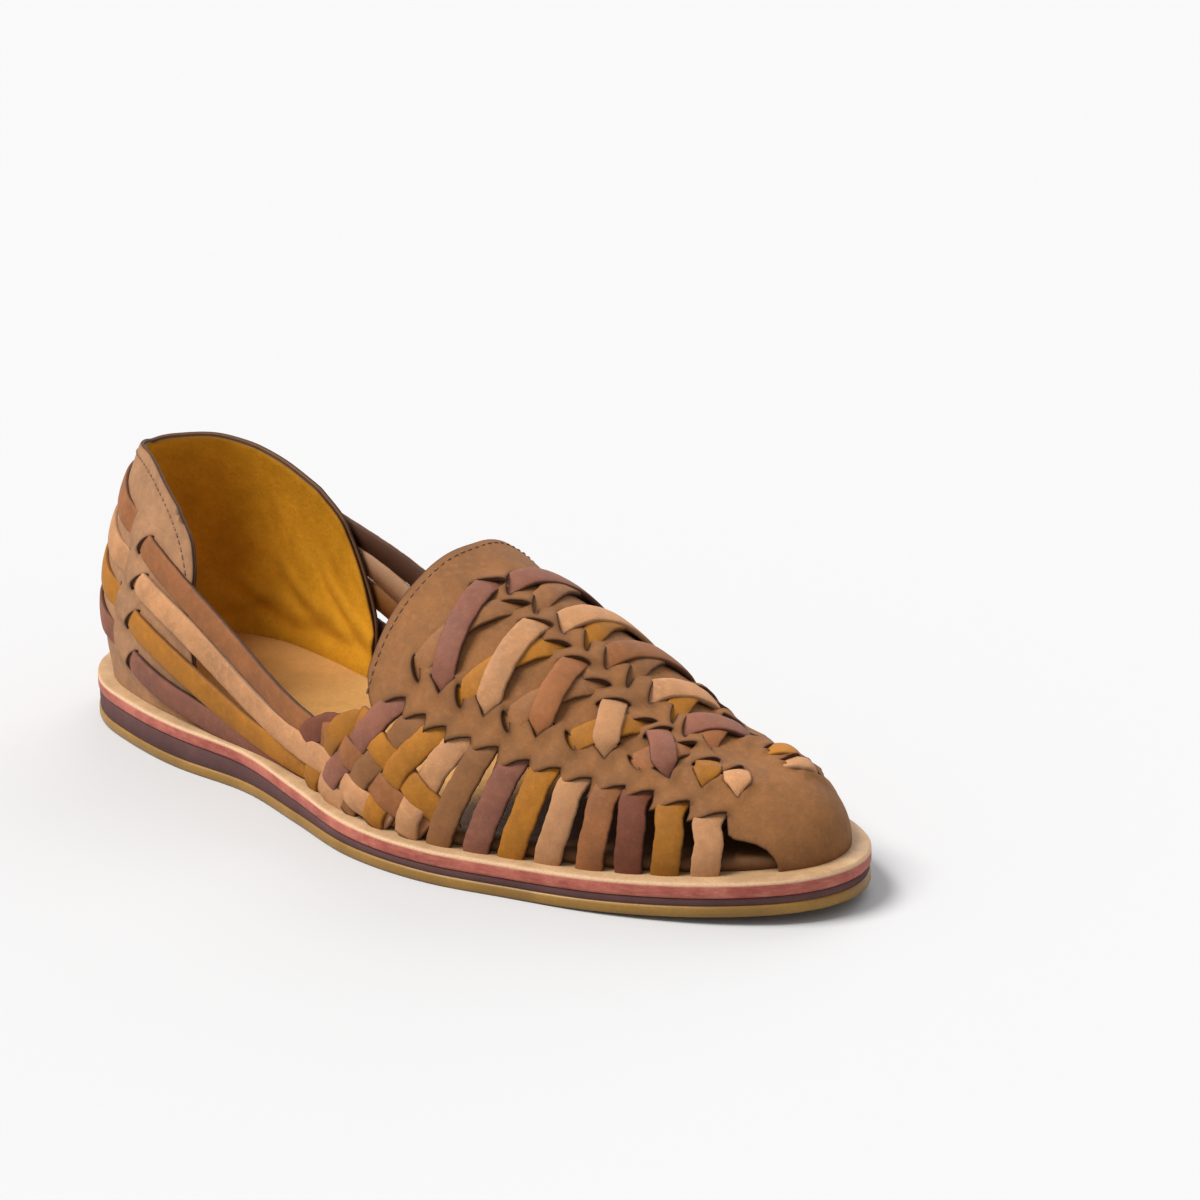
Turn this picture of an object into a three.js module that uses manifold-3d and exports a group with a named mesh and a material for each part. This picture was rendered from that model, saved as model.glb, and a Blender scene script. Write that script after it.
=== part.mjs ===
// Woven leather huarache, right shoe.  Millimetres, +X to the toe, +Y to the inner
// (medial) side, +Z up.  The floor is z = 0 and the origin is under the middle of the sole.
// Inside this file x runs from the back of the heel; the group is centred at the end.
import * as THREE from 'three';
import Module from 'manifold-3d';

const wasm = await Module();
wasm.setup();

// ---- driving dimensions ---------------------------------------------------------------
const LENGTH = 292;            // sole, heel to toe
const HEEL_STACK = 14.3;       // all sole layers at the heel
const FORE_STACK = 10.3;       // all sole layers at the ball
const TOE_SPRING = 3.6;        // lift of the sole's tip
const SPRING_FROM = 205;       // where the lift starts
const HEEL_BEVEL = 2.0;        // rounding under the back edge
const GAP = 0.3;               // clearance between separate pieces
const MIDSOLE = 4.8;           // leather board that the straps are lasted to
const OUTSOLE = 3.3;           // gum layer
const INSOLE = 4.0;            // footbed
const WALL = 2.0;              // upper leather
const STRAP = 1.8;             // strap leather
const STRAP_WIDTH = 7.8;
const BAND_WIDTH = 8.0;        // quarter straps
const COUNTER_OUT = 0.2;       // counter's outer face, off the last
const COUNTER_IN = -2.0;       // counter's inner face
const COLLAR_AT = 158;         // the vamp's rear edge
const RIDGE_PULL = 30;         // how far the toe's ribs lean back to the crest

// sole outline: centre line and fullness, both against length
const OUTLINE = [
  { x: 0, centre: 0.4, full: 56.5 },
  { x: 6, centre: 0.6, full: 56.8 },
  { x: 18, centre: 0.8, full: 56.6 },
  { x: 40, centre: 0.2, full: 51 },
  { x: 70, centre: -3.6, full: 42.8 },
  { x: 100, centre: -5.8, full: 36.5 },
  { x: 130, centre: -6.6, full: 41.2 },
  { x: 160, centre: -5.8, full: 49.6 },
  { x: 190, centre: -2.2, full: 54.8 },
  { x: 215, centre: 1.9, full: 56 },
  { x: 240, centre: 4, full: 57 },
  { x: 262, centre: 5.6, full: 57 },
  { x: 280, centre: 7, full: 57.5 },
  { x: 292, centre: 7.5, full: 59 },
];

// flange left outside the upper
const FLANGE = [
  { x: 0, w: 6 }, { x: 30, w: 4.6 }, { x: 80, w: 4.2 }, { x: 240, w: 4.2 },
  { x: 270, w: 4.8 }, { x: 292, w: 5.6 },
];

// crest of the forefoot: sideways place, height over the seat, squareness of the arch
const CREST = [
  { x: 60, y: 0, h: 96, wide: 3.0, tall: 2.0 },
  { x: 90, y: 0, h: 86, wide: 2.6, tall: 2.0 },
  { x: 120, y: 0, h: 77, wide: 2.4, tall: 2.0 },
  { x: 140, y: 0, h: 74, wide: 2.3, tall: 2.05 },
  { x: 157, y: -0.5, h: 70.5, wide: 2.25, tall: 2.05 },
  { x: 172, y: -1, h: 66, wide: 2.2, tall: 2.05 },
  { x: 188, y: -1, h: 59.8, wide: 2.2, tall: 2.05 },
  { x: 205, y: 0, h: 51.8, wide: 2.2, tall: 2.05 },
  { x: 218, y: 1.2, h: 44.8, wide: 2.2, tall: 2.1 },
  { x: 232, y: 2.8, h: 37.6, wide: 2.2, tall: 2.1 },
  { x: 245, y: 4.2, h: 32, wide: 2.2, tall: 2.1 },
  { x: 262, y: 5.5, h: 27, wide: 2.2, tall: 2.1 },
  { x: 292, y: 7, h: 21, wide: 2.15, tall: 2.1 },
];

// heel wall: inward lean against height, behind the heel and at its sides
const LEAN = [
  { h: 0, back: 0, side: 0 },
  { h: 12, back: -1.6, side: -1.0 },
  { h: 25, back: -1.8, side: -0.8 },
  { h: 40, back: 0.8, side: 1.2 },
  { h: 55, back: 5.2, side: 4.6 },
  { h: 70, back: 10.6, side: 9.6 },
  { h: 80, back: 14.6, side: 14 },
];

// lower edge of the vamp, as an angle up the arch
const VAMP_EDGE = [
  { x: 150, a: 0.42 }, { x: 222, a: 0.42 }, { x: 233, a: 0.46 }, { x: 242, a: 0.52 },
  { x: 250, a: 0.56 }, { x: 259, a: 0.55 }, { x: 267, a: 0.46 }, { x: 273, a: 0.4 },
  { x: 277.6, a: 0.36 }, { x: 279.6, a: 0 }, { x: 292, a: 0 },
];

// side straps: foot and tip along the feather line, tip's angle up the arch, foot's angle
const SIDE_STRAPS = [
  { foot: 160, tip: 174.4, top: 0.575, from: 0.2 },
  { foot: 169, tip: 182.8, top: 0.55, from: 0.2 },
  { foot: 178, tip: 189.8, top: 0.54, from: 0.14 },
  { foot: 187, tip: 197.4, top: 0.54, from: 0 },
  { foot: 195, tip: 205.5, top: 0.55, from: 0 },
  { foot: 204.5, tip: 214.8, top: 0.555, from: 0 },
  { foot: 214.5, tip: 223.7, top: 0.6, from: 0 },
  { foot: 224.5, tip: 232.6, top: 0.64, from: 0 },
  { foot: 235, tip: 241.7, top: 0.7, from: 0 },
  { foot: 245, tip: 249.5, top: 0.745, from: 0 },
  { foot: 255, tip: 258.9, top: 0.745, from: 0 },
  { foot: 264.6, tip: 268.4, top: 0.68, from: 0 },
];

// quarter straps: height at the back and the angle of the counter's slit, then for each
// side the height at the slit, over the floor at two stations, and the end in the braid
const QUARTER = [
  { back: 61, at: 0.818, outer: { slit: 49.6, z66: 57.1, z80: 50.8, end: 133, a: 0.24 }, inner: { slit: 54.5, z66: 65, z80: 61.4, end: 141, a: 0.4 } },
  { back: 48.5, at: 0.81, outer: { slit: 38.1, z66: 46.9, z80: 42.3, end: 129, a: 0.15 }, inner: { slit: 45, z66: 56.5, z80: 53.4, end: 137, a: 0.29 } },
  { back: 36.5, at: 0.785, outer: { slit: 25.7, z66: 34.3, z80: 28.4, end: 126, a: 0.075 }, inner: { slit: 33.5, z66: 46, z80: 43.4, end: 133, a: 0.17 } },
  { back: 23.5, at: 0.778, outer: { slit: 12.5, z66: 21.6, z80: 19, end: 122, a: 0.06 }, inner: { slit: 20, z66: 33, z80: 31, end: 129, a: 0.08 } },
];

// counter: edge angle against height share, top height against the share of the way round
const COUNTER_EDGE = [
  { v: 0, lateral: 1.098, medial: 1.17 }, { v: 0.34, lateral: 1.07, medial: 1.185 },
  { v: 0.56, lateral: 1.055, medial: 1.166 }, { v: 0.78, lateral: 1.048, medial: 1.139 },
  { v: 0.88, lateral: 1.02, medial: 1.12 }, { v: 1, lateral: 0.93, medial: 1.05 },
];
const COUNTER_TOP = [
  { u: -1, h: 61 }, { u: -0.9, h: 66 }, { u: -0.8, h: 68.8 }, { u: -0.6, h: 72 },
  { u: -0.3, h: 72 }, { u: 0, h: 70 }, { u: 0.3, h: 72 }, { u: 0.6, h: 74 },
  { u: 0.75, h: 73.6 }, { u: 0.9, h: 68.5 }, { u: 1, h: 64 },
];

// ---- curves ---------------------------------------------------------------------------
function smooth(rows, key, col, x) {
  const n = rows.length;
  if (x <= rows[0][key]) return rows[0][col];
  if (x >= rows[n - 1][key]) return rows[n - 1][col];
  const rise = (k) => (rows[k + 1][col] - rows[k][col]) / (rows[k + 1][key] - rows[k][key]);
  const slope = (k) => {
    if (k === 0) return rise(0);
    if (k === n - 1) return rise(n - 2);
    const a = rows[k][key] - rows[k - 1][key];
    const b = rows[k + 1][key] - rows[k][key];
    return (rise(k - 1) * b + rise(k) * a) / (a + b);
  };
  let i = 0;
  while (rows[i + 1][key] <= x) i += 1;
  const h = rows[i + 1][key] - rows[i][key];
  const t = (x - rows[i][key]) / h;
  const m0 = slope(i) * h;
  const m1 = slope(i + 1) * h;
  return (2 * t ** 3 - 3 * t * t + 1) * rows[i][col] + (t ** 3 - 2 * t * t + t) * m0
    + (-2 * t ** 3 + 3 * t * t) * rows[i + 1][col] + (t ** 3 - t * t) * m1;
}

const clamp = (v, a, b) => Math.min(b, Math.max(a, v));
const ease = (t) => t * t * (3 - 2 * t);
const mix = (a, b, t) => a + (b - a) * t;

// sole outline: 0 at the back of the heel, pi at the toe, the outer side between them
function edge(turn) {
  const x = (LENGTH / 2) * (1 - Math.cos(turn));
  return { x, y: smooth(OUTLINE, 'x', 'centre', x) - Math.sin(turn) * smooth(OUTLINE, 'x', 'full', x) };
}

function rim(turn, inset) {
  const p = edge(turn);
  const a = edge(turn - 1e-3);
  const b = edge(turn + 1e-3);
  const l = Math.hypot(b.x - a.x, b.y - a.y);
  return { x: p.x - ((b.y - a.y) / l) * inset, y: p.y + ((b.x - a.x) / l) * inset };
}

function ground(x) {
  const t = clamp((x - SPRING_FROM) / (LENGTH - SPRING_FROM), 0, 1);
  const b = clamp((14 - x) / 14, 0, 1);
  return TOE_SPRING * t * t + HEEL_BEVEL * b * b;
}

function seat(x) {
  return ground(Math.max(x, 14)) + mix(HEEL_STACK, FORE_STACK, ease(clamp((x - 60) / 120, 0, 1)));
}

const flange = (x) => smooth(FLANGE, 'x', 'w', x);

// last surface over the forefoot: a rib from the feather line up to the crest
function tentPoint(turn, a) {
  const o = edge(turn);
  const f = rim(turn, flange(o.x));
  const t = clamp((f.x - SPRING_FROM) / (LENGTH - 6 - SPRING_FROM), 0, 2);
  const rx = f.x - RIDGE_PULL * t * t;
  const ry = smooth(CREST, 'x', 'y', f.x);
  const slim = turn > Math.PI ? ease(clamp((f.x - 152) / 28, 0, 1)) * (1 - ease(clamp((f.x - 246) / 28, 0, 1))) : 0;
  const c = Math.max(Math.cos(a), 0) ** (2 / (smooth(CREST, 'x', 'wide', f.x) - 0.4 * slim));
  const s = Math.max(Math.sin(a), 0) ** (2 / (smooth(CREST, 'x', 'tall', f.x) - 0.62 * slim));
  return new THREE.Vector3(rx + (f.x - rx) * c, ry + (f.y - ry) * c,
    seat(f.x) + GAP + smooth(CREST, 'x', 'h', f.x) * s);
}

// the turn of the same station on the other side
function acrossFrom(turn) {
  const side = turn <= Math.PI ? 1 : -1;
  return turnAt(rim(turn, flange(edge(turn).x)).x, side);
}

function tentNormal(turn, a) {
  const e = 2e-3;
  const b = clamp(a, 2 * e, Math.PI / 2 - 2 * e);
  const u = tentPoint(turn + e, b).sub(tentPoint(turn - e, b));
  const v = tentPoint(turn, b + e).sub(tentPoint(turn, b - e));
  return u.cross(v).normalize();
}

function tent(turn, a, out) {
  let n = tentNormal(turn, a);
  if (a > Math.PI / 2 - 0.02) n = n.add(tentNormal(acrossFrom(turn), a)).normalize();
  const p = tentPoint(turn, a);
  const low = p.z;
  p.addScaledVector(n, out);
  if (a < 0.02) p.z = low;
  return p;
}

// heel wall: height over the seat, out along the outline's normal
function wall(turn, h, out) {
  const o = edge(turn);
  const t = ease(clamp((o.x - 8) / 45, 0, 1));
  const lean = mix(smooth(LEAN, 'h', 'back', h), smooth(LEAN, 'h', 'side', h), t);
  const p = rim(turn, flange(o.x) + lean - out);
  return new THREE.Vector3(p.x, p.y, seat(o.x) + GAP + h);
}

function wallNormal(turn, h) {
  const u = wall(turn + 0.01, h, 0).sub(wall(turn - 0.01, h, 0));
  const v = wall(turn, h + 1, 0).sub(wall(turn, h - 1, 0));
  return u.cross(v).normalize();
}

// turn of the feather line's station x, on the outer (-1) or inner (+1) side
function turnAt(x, side, inset = flange) {
  let lo = 0;
  let hi = Math.PI;
  for (let k = 0; k < 40; k += 1) {
    const m = (lo + hi) / 2;
    if (rim(m, inset(edge(m).x)).x < x) lo = m; else hi = m;
  }
  const m = (lo + hi) / 2;
  return side < 0 ? m : 2 * Math.PI - m;
}

// ---- solids ---------------------------------------------------------------------------
// closed shell between two grids of points, columns i and rows j
function shell(columns, rows, outer, inner) {
  const points = [];
  const faces = [];
  const id = (layer, i, j) => layer * (columns + 1) * (rows + 1) + i * (rows + 1) + j;
  for (const face of [outer, inner]) {
    for (let i = 0; i <= columns; i += 1) {
      for (let j = 0; j <= rows; j += 1) points.push(face(i / columns, j / rows));
    }
  }
  const quad = (a, b, c, d) => faces.push([a, b, c], [a, c, d]);
  for (let i = 0; i < columns; i += 1) {
    for (let j = 0; j < rows; j += 1) {
      quad(id(0, i, j), id(0, i + 1, j), id(0, i + 1, j + 1), id(0, i, j + 1));
      quad(id(1, i, j), id(1, i, j + 1), id(1, i + 1, j + 1), id(1, i + 1, j));
    }
    quad(id(1, i, 0), id(1, i + 1, 0), id(0, i + 1, 0), id(0, i, 0));
    quad(id(0, i, rows), id(0, i + 1, rows), id(1, i + 1, rows), id(1, i, rows));
  }
  for (let j = 0; j < rows; j += 1) {
    quad(id(1, 0, j + 1), id(1, 0, j), id(0, 0, j), id(0, 0, j + 1));
    quad(id(0, columns, j + 1), id(0, columns, j), id(1, columns, j), id(1, columns, j + 1));
  }
  return { points, faces };
}

// merge equal points, drop empty faces and cancel faces that meet back to back
function weld({ points, faces }) {
  const seen = new Map();
  const merged = [];
  const index = points.map((p) => {
    const key = [p.x, p.y, p.z].map((v) => Math.round(v * 2000)).join();
    if (!seen.has(key)) {
      seen.set(key, merged.length);
      merged.push(p);
    }
    return seen.get(key);
  });
  const kept = new Map();
  for (const f of faces) {
    const g = f.map((k) => index[k]);
    if (g[0] === g[1] || g[1] === g[2] || g[0] === g[2]) continue;
    const key = [...g].sort((a, b) => a - b).join();
    if (kept.has(key)) kept.delete(key); else kept.set(key, g);
  }
  return { points: merged, faces: [...kept.values()] };
}

function solid(mesh) {
  const { points, faces } = weld(mesh);
  const made = new wasm.Manifold(new wasm.Mesh({
    numProp: 3,
    vertProperties: new Float32Array(points.flatMap((p) => [p.x, p.y, p.z])),
    triVerts: new Uint32Array(faces.flat()),
  }));
  return made;
}

// strip of leather along a path of centres with surface normals
function ribbon(centres, normals, width, low, high) {
  const n = centres.length - 1;
  const across = centres.map((p, k) => {
    const t = centres[Math.min(k + 1, n)].clone().sub(centres[Math.max(k - 1, 0)]).normalize();
    return normals[k].clone().cross(t).normalize();
  });
  const lay = (height) => (i, j) => {
    const k = Math.round(i * n);
    return centres[k].clone().addScaledVector(across[k], (j - 0.5) * width)
      .addScaledVector(normals[k], height);
  };
  return shell(n, 1, lay(high), lay(low));
}

// sole layer between two heights, with a rounded edge
function layer(bottom, top, inset, round = 0.6) {
  const steps = 48;
  const rings = [
    { s: round, z: 0 }, { s: 0, z: round }, { s: 0, z: -round }, { s: round, z: 1 },
  ];
  const points = [];
  const faces = [];
  const count = steps * 2;
  rings.forEach((ring, r) => {
    for (let k = 0; k < count; k += 1) {
      const turn = (k / steps) * Math.PI;
      const x = edge(turn).x;
      const p = rim(turn, inset(x) + ring.s);
      const z = r === 0 ? bottom(x) : r === 1 ? bottom(x) + ring.z : r === 2 ? top(x) + ring.z : top(x);
      points.push(new THREE.Vector3(p.x, p.y, z));
    }
  });
  for (let r = 0; r < 3; r += 1) {
    for (let k = 0; k < count; k += 1) {
      const a = r * count + k;
      const b = r * count + ((k + 1) % count);
      faces.push([a, b, b + count], [a, b + count, a + count]);
    }
  }
  for (const [ring, flip] of [[0, true], [3, false]]) {
    const at = (k) => ring * count + ((k + count) % count);
    for (let k = 0; k < steps; k += 1) {
      const q = [at(k), at(k + 1), at(-k - 1), at(-k)];
      for (const f of [[q[0], q[1], q[2]], [q[0], q[2], q[3]]]) faces.push(flip ? [f[0], f[2], f[1]] : f);
    }
  }
  return solid({ points, faces });
}

// ---- upper: vamp, side straps, braids and quarter straps, joined into one piece --------
const PEAK = Math.PI / 2;
const TIP_STATION = rim(Math.PI, flange(LENGTH)).x;

// the ribs run from the collar to the toe along the outer side and back along the inner
// one; ribs of one station share their point on the crest, so the two halves close there
function vampAt(out) {
  const first = Math.acos(1 - (2 * COLLAR_AT) / TIP_STATION);
  return (u, v) => {
    const along = mix(first, Math.PI, 1 - Math.abs(1 - 2 * u));
    const x = (TIP_STATION / 2) * (1 - Math.cos(along));
    const low = Math.max(smooth(VAMP_EDGE, 'x', 'a', x), 0);
    return tent(turnAt(x, u <= 0.5 ? -1 : 1), mix(low, PEAK, v ** 0.9), out);
  };
}

// side strap as a patch of the last: straight up, over the vamp's edge and tucked in
function sideStrap(row, side) {
  const lay = (drop) => (u, v) => {
    const x = mix(row.foot, row.tip, v ** 1.3);
    const half = (STRAP_WIDTH / 2) * mix(1, 0.3, ease(clamp((v - 0.72) / 0.28, 0, 1)));
    const lift = 1.5 * ease(clamp((v - 0.45) / 0.3, 0, 1)) - 1.3 * ease(clamp((v - 0.9) / 0.1, 0, 1));
    const turn = turnAt(x + (side < 0 ? 1 : -1) * (u * 2 - 1) * half, side);
    return tent(turn, mix(row.from, row.top, v), lift - 0.1 - drop);
  };
  return shell(2, 8, lay(0), lay(STRAP));
}

// close braid at the waist, where the quarter straps meet the vamp straps: one wall
function braid(side) {
  const lay = (drop) => (u, v) => {
    const rear = mix(119, 133, v);
    const front = mix(193, 170, v);
    const x = mix(rear, front, side < 0 ? u : 1 - u);
    const rise = ease(clamp((x - 130) / 28, 0, 1));
    const top = side < 0 ? mix(0.27, 0.46, rise) : mix(0.46, 0.58, rise);
    return tent(turnAt(x, side), v * top, -drop);
  };
  return shell(10, 4, lay(0), lay(WALL));
}

// one quarter strap, from braid to braid round the back of the heel
function quarter(row) {
  const centres = [];
  const normals = [];
  const half = (side) => {
    const way = side < 0 ? row.outer : row.inner;
    const c = [];
    const n = [];
    const a = turnAt(way.end, side);
    c.push(tent(a, way.a, -1));
    n.push(tentNormal(a, way.a));
    for (const [x, z] of [[80, way.z80], [73, mix(way.z66, way.z80, 0.5)], [66, way.z66], [57, 0]]) {
      const t = turnAt(x, side);
      const h = (x === 57 ? mix(way.z66, way.slit + seat(48), 0.5) : z) - seat(x) - GAP;
      c.push(wall(t, h, COUNTER_OUT + 0.4));
      n.push(wallNormal(t, h));
    }
    return { c, n };
  };
  const outer = half(-1);
  const inner = half(1);
  const steps = 20;
  centres.push(...outer.c);
  normals.push(...outer.n);
  for (let k = 0; k <= steps; k += 1) {
    const t = mix(row.at, -row.at, k / steps);
    const h = mix(row.back, (t < 0 ? row.inner : row.outer).slit, Math.abs(t / row.at) ** 3);
    centres.push(wall(t, h, COUNTER_OUT + 0.4));
    normals.push(wallNormal(t, h));
  }
  centres.push(...inner.c.reverse());
  normals.push(...inner.n.reverse());
  return ribbon(centres, normals, BAND_WIDTH, 0, 1.5);
}

const pieces = [solid(shell(44, 8, vampAt(0), vampAt(-WALL)))];
for (const side of [-1, 1]) {
  pieces.push(solid(braid(side)));
  for (const row of SIDE_STRAPS) pieces.push(solid(sideStrap(row, side)));
}
for (const row of QUARTER) pieces.push(solid(quarter(row)));
const upper = pieces.reduce((all, next) => all.add(next));

// ---- heel counter ---------------------------------------------------------------------
function counterAt(out) {
  return (i, v) => {
    const u = i * 2 - 1;
    const side = smooth(COUNTER_EDGE, 'v', u < 0 ? 'medial' : 'lateral', v);
    return wall(u * side, v * smooth(COUNTER_TOP, 'u', 'h', u), out);
  };
}
const counter = solid(shell(40, 9, counterAt(COUNTER_OUT), counterAt(COUNTER_IN)));

// ---- sole -----------------------------------------------------------------------------
const flush = () => 0;
const outsoleTop = (x) => ground(x) + OUTSOLE;
const boardBottom = (x) => seat(x) - MIDSOLE;
const outsole = layer(ground, outsoleTop, flush, 0.5);
const wedge = layer((x) => outsoleTop(x) + GAP, (x) => boardBottom(x) - GAP, () => 0.4, 0.2);
const board = layer(boardBottom, seat, flush, 0.7);
const inSole = layer((x) => seat(x) + GAP, (x) => seat(x) + INSOLE, (x) => flange(x) + 3.4, 0.5);

// ---- scene graph, the box centred over the origin --------------------------------------
const shoe = new THREE.Group();
const reach = Array.from({ length: 96 }, (_, k) => edge((k / 48) * Math.PI).y);
const middle = (Math.min(...reach) + Math.max(...reach)) / 2;

function place(name, made, color, roughness) {
  const mesh = made.getMesh();
  const geometry = new THREE.BufferGeometry();
  const points = [];
  for (let k = 0; k < mesh.vertProperties.length; k += mesh.numProp) {
    points.push(mesh.vertProperties[k], mesh.vertProperties[k + 1], mesh.vertProperties[k + 2]);
  }
  geometry.setAttribute('position', new THREE.Float32BufferAttribute(points, 3));
  geometry.setIndex([...mesh.triVerts]);
  geometry.computeVertexNormals();
  const node = new THREE.Mesh(geometry, new THREE.MeshStandardMaterial({ color, roughness, metalness: 0 }));
  node.name = name;
  node.position.set(-LENGTH / 2, -middle, 0);
  shoe.add(node);
}

place('outsole', outsole, 0xb98a3c, 0.5);
place('midsole_wedge', wedge, 0x4a3230, 0.75);
place('midsole', board, 0xd3a06c, 0.7);
place('insole', inSole, 0xc99a66, 0.75);
place('upper', upper, 0x9c6b45, 0.8);
place('heel_counter', counter, 0x9a6a48, 0.8);

export default shoe;
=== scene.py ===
# Woven leather huarache, right shoe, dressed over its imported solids.  Shapes are worked
# out in millimetres from the back of the heel, then set in the row's frame in metres.
# Side -1 is the shoe's outer side and 1 its inner side.
import math

import bmesh
import bpy
import numpy as np
from mathutils import Matrix, Vector
from mathutils.geometry import delaunay_2d_cdt


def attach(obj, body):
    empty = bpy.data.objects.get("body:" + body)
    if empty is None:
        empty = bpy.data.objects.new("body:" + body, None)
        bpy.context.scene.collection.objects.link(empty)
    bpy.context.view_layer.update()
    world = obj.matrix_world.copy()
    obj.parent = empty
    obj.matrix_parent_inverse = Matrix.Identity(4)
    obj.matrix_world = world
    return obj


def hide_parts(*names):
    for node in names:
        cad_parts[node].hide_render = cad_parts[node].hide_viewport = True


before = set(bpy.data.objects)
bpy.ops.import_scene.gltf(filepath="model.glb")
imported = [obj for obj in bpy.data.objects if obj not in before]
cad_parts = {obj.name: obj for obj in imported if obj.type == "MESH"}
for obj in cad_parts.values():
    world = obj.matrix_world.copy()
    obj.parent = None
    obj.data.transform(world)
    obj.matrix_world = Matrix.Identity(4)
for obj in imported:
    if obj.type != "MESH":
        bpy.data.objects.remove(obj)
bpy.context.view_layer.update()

# ---- the last and the sole: the part's own solids, but with the toe's crest eased and the
# counter's top line higher in its middle
LENGTH = 292.0
HEEL_STACK, FORE_STACK = 14.3, 10.3
TOE_SPRING, SPRING_FROM, HEEL_BEVEL = 3.6, 205.0, 2.0
MIDSOLE, OUTSOLE, LIFT = 4.8, 3.3, 0.3
RIDGE_PULL = 30.0
MIDDLE = -2.262
SLIM = (152, 246, 0.4, 0.62)  # from, to, and how much less full the inner side is
OUTLINE = [(0, 0.4, 56.5), (6, 0.6, 56.8), (18, 0.8, 56.6), (40, 0.2, 51), (70, -3.6, 42.8),
           (100, -5.8, 36.5), (130, -6.6, 41.2), (160, -5.8, 49.6), (190, -2.2, 54.8),
           (215, 1.9, 56), (240, 4, 57), (262, 5.6, 57), (280, 7, 57.5), (292, 7.5, 59)]
FLANGE = [(0, 6), (30, 4.6), (80, 4.2), (240, 4.2), (270, 4.8), (292, 5.6)]
CREST = [(60, 0, 96, 3, 2), (90, 0, 86, 2.6, 2), (120, 0, 77, 2.4, 2), (140, 0, 74, 2.3, 2.05),
         (157, -0.5, 70.5, 2.25, 2.05), (172, -1, 66, 2.2, 2.05), (188, -1, 59.8, 2.2, 2.05),
         (205, 0, 51.8, 2.2, 2.05), (218, 1.2, 44.8, 2.2, 2.1), (232, 2.8, 37.6, 2.2, 2.1),
         (245, 4.2, 32, 2.2, 2.1), (262, 5.5, 27, 2.2, 2.1), (292, 7, 21, 2.15, 2.1)]
LEAN = [(0, 0, 0), (12, -1.6, -1), (25, -1.8, -0.8), (40, 0.8, 1.2), (55, 5.2, 4.6),
        (70, 10.6, 9.6), (80, 14.6, 14)]
COUNTER_EDGE = [(0, 1.098, 1.17), (0.34, 1.07, 1.185), (0.56, 1.055, 1.166),
                (0.78, 1.048, 1.139), (0.88, 1.02, 1.12), (1, 0.93, 1.05)]
COUNTER_TOP = [(-1, 61), (-0.9, 66), (-0.8, 68.8), (-0.6, 72), (-0.3, 72.3), (0, 71.4), (0.3, 72.4),
               (0.6, 74), (0.75, 73.6), (0.9, 68.5), (1, 64)]


def curve(rows, column=1):
    """Smooth curve through one column of the rows, against their first."""
    xs = np.array([row[0] for row in rows], float)
    ys = np.array([row[column] for row in rows], float)
    gap, rise = np.diff(xs), np.diff(ys) / np.diff(xs)
    slope = np.empty_like(xs)
    slope[0], slope[-1] = rise[0], rise[-1]
    slope[1:-1] = (rise[:-1] * gap[1:] + rise[1:] * gap[:-1]) / (gap[1:] + gap[:-1])

    def at(x):
        x = np.clip(x, xs[0], xs[-1])
        i = np.clip(np.searchsorted(xs, x, "right") - 1, 0, len(xs) - 2)
        h = gap[i]
        t = (x - xs[i]) / h
        return ((2 * t ** 3 - 3 * t * t + 1) * ys[i] + (t ** 3 - 2 * t * t + t) * slope[i] * h
                + (3 * t * t - 2 * t ** 3) * ys[i + 1] + (t ** 3 - t * t) * slope[i + 1] * h)

    return at


def ease(t):
    """Smooth step from 0 to 1."""
    t = np.clip(t, 0, 1)
    return t * t * (3 - 2 * t)


def mix(a, b, t):
    """Straight blend from a to b."""
    return a + (b - a) * t


outline_centre, outline_full, flange = curve(OUTLINE), curve(OUTLINE, 2), curve(FLANGE)
crest_y, crest_h, crest_wide, crest_tall = (curve(CREST, k) for k in (1, 2, 3, 4))
lean_back, lean_side = curve(LEAN), curve(LEAN, 2)
counter_outer, counter_inner, counter_top = curve(COUNTER_EDGE), curve(COUNTER_EDGE, 2), curve(COUNTER_TOP)


def edge(turn):
    """The sole's outline at a turn: 0 at the heel, pi at the toe, then back on the inner side."""
    x = LENGTH / 2 * (1 - np.cos(turn))
    return x, outline_centre(x) - np.sin(turn) * outline_full(x)


def rim(turn, inset):
    """The outline set in along its normal."""
    x, y = edge(turn)
    ax, ay = edge(turn - 1e-3)
    bx, by = edge(turn + 1e-3)
    span = np.hypot(bx - ax, by - ay)
    return x - (by - ay) / span * inset, y + (bx - ax) / span * inset


def ground(x):
    toe = np.clip((x - SPRING_FROM) / (LENGTH - SPRING_FROM), 0, 1)
    heel = np.clip((14 - x) / 14, 0, 1)
    return TOE_SPRING * toe ** 2 + HEEL_BEVEL * heel ** 2


def seat(x):
    return ground(np.maximum(x, 14)) + mix(HEEL_STACK, FORE_STACK, ease((x - 60) / 120))


TIP = float(rim(np.array(math.pi), flange(LENGTH))[0])  # the last's front end
TURNS = np.linspace(0, math.pi, 4001)
STATIONS = np.maximum.accumulate(rim(TURNS, flange(edge(TURNS)[0]))[0])


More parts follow.
